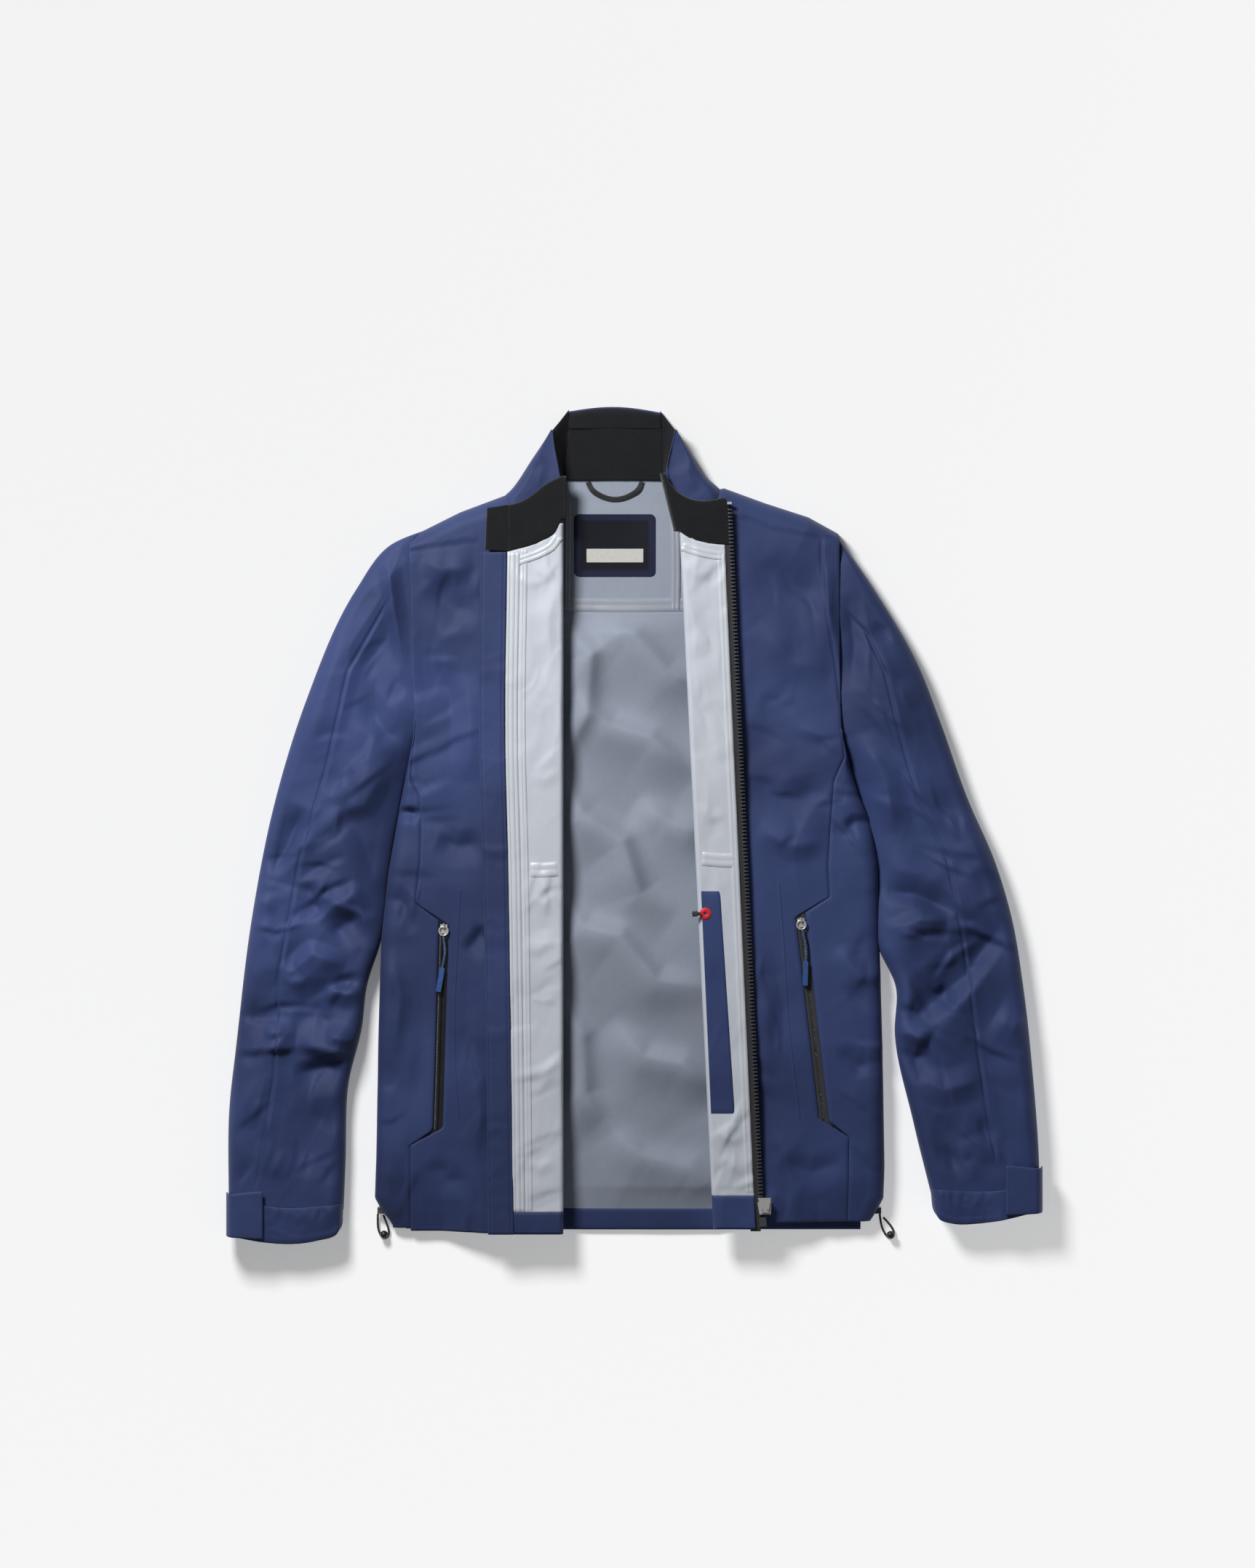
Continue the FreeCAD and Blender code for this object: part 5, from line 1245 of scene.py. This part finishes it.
# ---- Main zip -------------------------------------------------------------------------------
# A chunky moulded zip: woven tape, plastic teeth, a metal slider with a plain flared puller, and
# the box at the foot that takes the other half's pin. The right half is hidden under its flap.
place, along, done = new_material("zip_tape_weave", 0.8, Sheen_Weight=0.3)
across, up, _ = along.split()
ribs = across.wave(0.0012) * 0.6 + up.wave(0.0007) * 0.4
zip_tape = done((ribs * 0.4 + place.noise(0.006, 3) * 0.6).blend((0.012, 0.012, 0.013),
        (0.034, 0.034, 0.037)), ribs, 0.00018)
moulded = mottled_finish("moulded_black", 0.36, (0.004, 3), (0.040, 0.040, 0.043),
                         (0.095, 0.095, 0.10), (0.0007,), 0.00004, (0.28, 0.2, 0.002),
                         Specular_IOR_Level=0.6)
# Under half metallic, so the pale colour shows mostly as diffuse: painted reflection standing in
# for the bright surroundings that plated metal mirrors. The scuffs are wear.
place, along, done = new_material("plated_metal_painted_reflection", 0.3, Metallic=0.45)
scuff = place.noise(0.0025, 4, 0.7)
metal = done(scuff.blend((0.56, 0.555, 0.54), (0.80, 0.79, 0.765)), scuff, 0.00003,
             rough=0.16 + scuff * 0.2)
for sign, label, level_of in ((1, "left", zip_line),
                              (-1, "right", lambda y: np.full(np.shape(y), -125.0))):
    rows = np.linspace(319 if sign > 0 else 266, -401, 300)
    offset = np.array([-11.5, -11.2, -6.8, -6.2, -5.6, -3.2, -2.6, -2.0, -1.6, -1.4])
    lift = np.array([-0.4, 0.0, 0.1, 0.5, 0.1, 0.15, 0.3, 0.3, 0.1, -0.4])
    base = 35.3 if sign > 0 else 32.9
    x = level_of(rows)[:, None] + offset[None] * (1 if sign > 0 else -1)
    z = base + lift[None] + 0 * x
    cloth(f"{label}_zip_tape_weave", np.stack([x, np.repeat(rows[:, None], len(offset), 1), z], -1),
          True, [zip_tape], f"{label}_lapel", [f"{label}_zip_tape"], thick=0.7)


def repaint(node, finish):
    """Give a moulded or cast piece its finish."""
    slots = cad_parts[node].data.materials
    slots.clear()
    slots.append(finish)


for node, finish in (("left_zip_teeth", moulded), ("right_zip_teeth", moulded),
                     ("zip_insertion_pin", moulded),
                     ("zip_retainer_box", moulded), ("zip_slider", metal), ("zip_puller", metal),
                     ("zip_top_stop", metal),
                     ("right_pull_ring", metal), ("left_pull_ring", metal),
                     ("right_pocket_slider", metal),
                     ("left_pocket_slider", metal), ("hem_cord_guides", moulded)):
    repaint(node, finish)

# ---- Hand pockets -----------------------------------------------------------------------------
# Each pocket has a reversed coil zip under a rubberised film, a small slider with a wire ring, a
# flecked cord and a moulded grip, and a bag of lining welded in behind the front.
right_film = mottled_finish("rubber_film_right", 0.16, (0.01, 3), (0.006, 0.006, 0.007),
                            (0.016, 0.016, 0.018), (0.004, 3), 0.0002, (0.12, 0.14, 0.01),
                            Specular_IOR_Level=0.8, Coat_Weight=0.4)
left_film = mottled_finish("rubber_film_left", 0.6, (0.01, 3), (0.022, 0.023, 0.025),
                           (0.046, 0.047, 0.052), (0.0008,), 0.00012, (0.5, 0.2, 0.01))
coil = mottled_finish("nylon_coil", 0.2, (0.002,), (0.05, 0.05, 0.054), (0.24, 0.24, 0.25),
                      (0.0006,), 0.00005, Metallic=0.4, Specular_IOR_Level=0.9)
place, along, done = new_material("flecked_blue_cord", 0.65, Sheen_Weight=0.3)
fleck = place.noise(0.0010, 1).between(0.52, 0.60)
blue_cord = done(fleck.blend((0.012, 0.028, 0.105), (0.10, 0.20, 0.46)), place.noise(0.0005, 1),
                 0.0002)
blue_plastic = mottled_finish("blue_grip", 0.38, (0.004, 3), (0.026, 0.074, 0.235),
                              (0.046, 0.115, 0.33), (0.0009,), 0.00006, (0.3, 0.2, 0.002),
                              Specular_IOR_Level=0.55)
black_plastic = mottled_finish("black_acetal", 0.34, (0.004, 3), (0.009, 0.009, 0.01),
                               (0.022, 0.022, 0.024), (0.0008,), 0.00005, (0.26, 0.2, 0.002),
                               Specular_IOR_Level=0.6)


def limp_cord(name, route, radius, material, body, node):
    """A round cord along a route."""
    data = bpy.data.curves.new(name, "CURVE")
    data.dimensions = "3D"
    data.bevel_depth = radius
    data.bevel_resolution = 5
    data.use_fill_caps = True
    data.resolution_u = 16
    line = data.splines.new("NURBS")
    line.points.add(len(route) - 1)
    for point, (x, y, z) in zip(line.points, route):
        point.co = (x * MM, y * MM, z * MM, 1)
    line.order_u = 3
    line.use_endpoint_u = True
    data.materials.append(material)
    cord = bpy.data.objects.new(name, data)
    bpy.context.scene.collection.objects.link(cord)
    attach(cord, body)
    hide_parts(node)
    tuple(value * MM for value in route[0])


for sign, side in ((-1, "right"), (1, "left")):
    top, foot = np.array(POCKET_TOP[sign]), np.array(POCKET_FOOT[sign])
    down = (foot - top) / np.linalg.norm(foot - top)
    across_zip = np.array([-down[1], down[0]])
    film = right_film if sign < 0 else left_film
    ribbon(f"{side}_pocket_film", [top - down * 9, foot + down * 9], 17.0, lambda x, y,
           sign=sign: front_height(x, y, sign) - 2.3, [film], "jacket",
           [f"{side}_pocket_zip"], lift=1.0, ends=0,
           profile=[(-1, -0.5), (-0.9, 0.2), (-0.5, 0.55), (-0.2, 0.75), (-0.06, 0.5),
                    (-0.03, -0.5), (0.03, -0.5), (0.06, 0.5),
                    (0.2, 0.75), (0.5, 0.55), (0.9, 0.2), (1, -0.5)])
    ribbon(f"{side}_pocket_backing", [top - down * 20, foot + down * 20], 30.0, lambda x,
           y: 24.2 + 0 * x, [shell], "jacket",
           lift=0.5, ends=0, profile=[(-1, 0), (-0.5, 0.4), (0, 0), (0.5, 0.4), (1, 0)])
    # the coil that shows along one edge of the film
    turns, turn_faces = [], []
    length = np.linalg.norm(foot - top)
    count = int(length / 1.5)
    lean = 3.1 if sign < 0 else 0.0
    for number in range(count):
        middle = top + down * (number + 0.5) * length / count + across_zip * (-lean)
        half = 0.9 if sign < 0 else 0.45
        base = len(turns)
        for along_coil, out, up in ((-0.55, -half, 0), (0.55, -half, 0), (-0.3, -half * 0.5, 0.85),
                                    (0.3, -half * 0.5, 0.85),
                                    (-0.3, half * 0.5, 0.85), (0.3, half * 0.5, 0.85),
                                    (-0.55, half, 0), (0.55, half, 0)):
            spot = middle + down * along_coil + across_zip * out
            turns.append((spot[0], spot[1], 26.2 + up))
        turn_faces += [tuple(base + corner for corner in face) for face in
                       ((0, 1, 3, 2), (2, 3, 5, 4), (4, 5, 7, 6), (0, 2, 4, 6), (1, 7, 5, 3))]
    mesh_piece(f"{side}_pocket_coil", turns, turn_faces, [coil], "jacket")

    near, far, seed = (34, 40, 120) if sign < 0 else (40, 34, 121)
    bag_spots = between_curves([(top[0] - near, top[1] + 16), (foot[0] - near, foot[1] - 22)],
                               [(top[0] + far, top[1] + 16), (foot[0] + far, foot[1] - 22)], 80, 24,
                               lambda x, y, w, s: 21.6 + 0.8 * drift(x, y, 30,
                                       seed) * 4 * w * (1 - w))
    bag = cloth(f"{side}_pocket_bag_cloth", bag_spots, True, [lining, shaded_lining_copy], "jacket",
                [f"{side}_pocket_bag"], thick=1.0)

    # the puller's cord, limp, from the ring to the grip
    cord_level, ring_reach, cord_span = 30.85, 1.15 * 1.7 + 2 * 4.4 + 0.75, 31.0
    start = top + down * ring_reach
    end = start + down * cord_span
    middle = (start + end) / 2 + across_zip * 2.2
    points = [start, start * 0.75 + end * 0.25 + across_zip * 1.5, middle,
              start * 0.25 + end * 0.75 + across_zip * 1.5, end]
    limp_cord(f"{side}_pocket_cord", [(x, y, cord_level) for x, y in points], 0.00122,
              blue_cord, f"{side}_pocket_pull", f"{side}_pull_cord")
    repaint(f"{side}_pull_grip", blue_plastic)

# the welds and stitched rows round each pocket
POCKET_WELDS = {-1: [[(-167, -62), (-170, -120), (-173, -207), (-171, -260), (-168, -294)],
                     [(-184.6, -56), (-176, -58.5), (-168, -61)]],
                1: [[(147, -56), (152, -120), (158, -207), (163, -250), (168, -292)],
                    [(156, -58), (176, -50), (197, -42)]]}
shell_lap = [(-1, -0.25), (-0.45, 0.5), (-0.1, 0.75), (0.1, 0.75), (0.45, 0.5), (1, -0.25)]
for sign, side in ((-1, "right"), (1, "left")):
    on_front = lambda x, y, sign=sign: front_height(x, y, sign)
    ribbon(f"{side}_pocket_weld", POCKET_WELDS[sign][0], 3.4, on_front, [shell], "jacket",
           lift=0.6, profile=shell_lap)
    stitches(f"{side}_pocket_rows", smooth_line(POCKET_WELDS[sign][1], 60), on_front, 2.6)
    diagonals = {-1: [[(-211.6, -76), (-187.7, -92.4)], [(-193.6, -305), (-217, -320.5)]],
                 1: [[(197.7, -69.4), (174, -84.6)], [(197, -296.5), (217, -311.6)]]}
    for start, end in diagonals[sign]:
        stitches(f"{side}_pocket_rows", smooth_line([start,
                                                     ((start[0] + end[0]) / 2,
                                                      (start[1] + end[1]) / 2 + 0.3), end], 40),
                 on_front, 2.6)
    make_stitches(f"{side}_pocket_rows", navy_thread, "jacket")

# ---- Hem ----------------------------------------------------------------------------------------
# A navy facing inside the back, and at each side an elastic cord that leaves the hem through a
# moulded guide, turns in a loop and ends in a small ball.
level = np.linspace(HEM + 0.5, -382.5, 12)
x, y = between_lines(np.full(12, -72.0), np.full(12, 230.0), level, 150)
facing_z = back_height(x, y) + 1.3 + 0.3 * drift(x, y, 30,
                                                 131) - 0.9 * np.exp(-((y
                                                         + 382.5) / 1.2) ** 2) - 0.9 * np.exp(-((y
                                                                 - HEM) / 1.5) ** 2)
facing = cloth("back_hem_facing_cloth", np.stack([x, y, facing_z], -1), True, [shell], "jacket",
               ["back_hem_facing"], thick=0.9)
HEM_ROUTES = {-1: [(-3, 16), (-2.5, 6), (-4, -3), (-8.5, -9.5), (-13.5, -7), (-14, 0.5), (-11, 8),
                   (-8.5, 15)],
              1: [(-4, 16), (-3, 6), (0.5, -3), (5.5, -9), (10.5, -7.5), (10, -0.5), (5.5, 6.5),
                  (-0.5, 12.5)]}
for sign, side in ((-1, "right"), (1, "left")):
    route = [(sign * (253 + out), HEM + up, 1.4 + (2.4 if up > -1 else 0))
             for out, up in HEM_ROUTES[sign]]
    limp_cord(f"{side}_hem_cord", route, 0.0011, black_cord, f"{side}_hem_pull",
              f"{side}_hem_loop")
    repaint(f"{side}_hem_ball", black_plastic)

# ---- Seams and tapes --------------------------------------------------------------------------
# A row of stitches above the hem of each front; welded tapes inside the back.
for sign, side in ((-1, "right"), (1, "left")):
    on_front = lambda x, y, sign=sign: front_height(x, y, sign)
    hem_level = -372 if sign < 0 else -366
    edge_x = -141 if sign < 0 else 133
    stitches(f"{side}_hem_stitches", smooth_line([(edge_x, hem_level), (sign * 190, hem_level + 1),
                                                  (sign * 238, hem_level + 3)], 120),
             on_front, 3.0)
    make_stitches(f"{side}_hem_stitches", navy_thread, "jacket")
ribbon("yoke_tape", [(-66, 218), (0, 217.5), (60, 218)], 14, back_height, [shaded_tape_copy], "jacket",
       lift=0.6, profile=flat_tape)
ribbon("yoke_upright_tape", [(46, 211), (46.5, 260), (45, 320)], 9, back_height, [shaded_tape_copy],
       "jacket", lift=0.9, profile=flat_tape)
ribbon("yoke_left_tape", [(-62, 211), (-61.5, 260), (-61, 318)], 6, back_height, [shaded_tape_copy],
       "jacket", lift=0.9, profile=flat_tape)

size_now = [list(corner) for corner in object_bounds()]
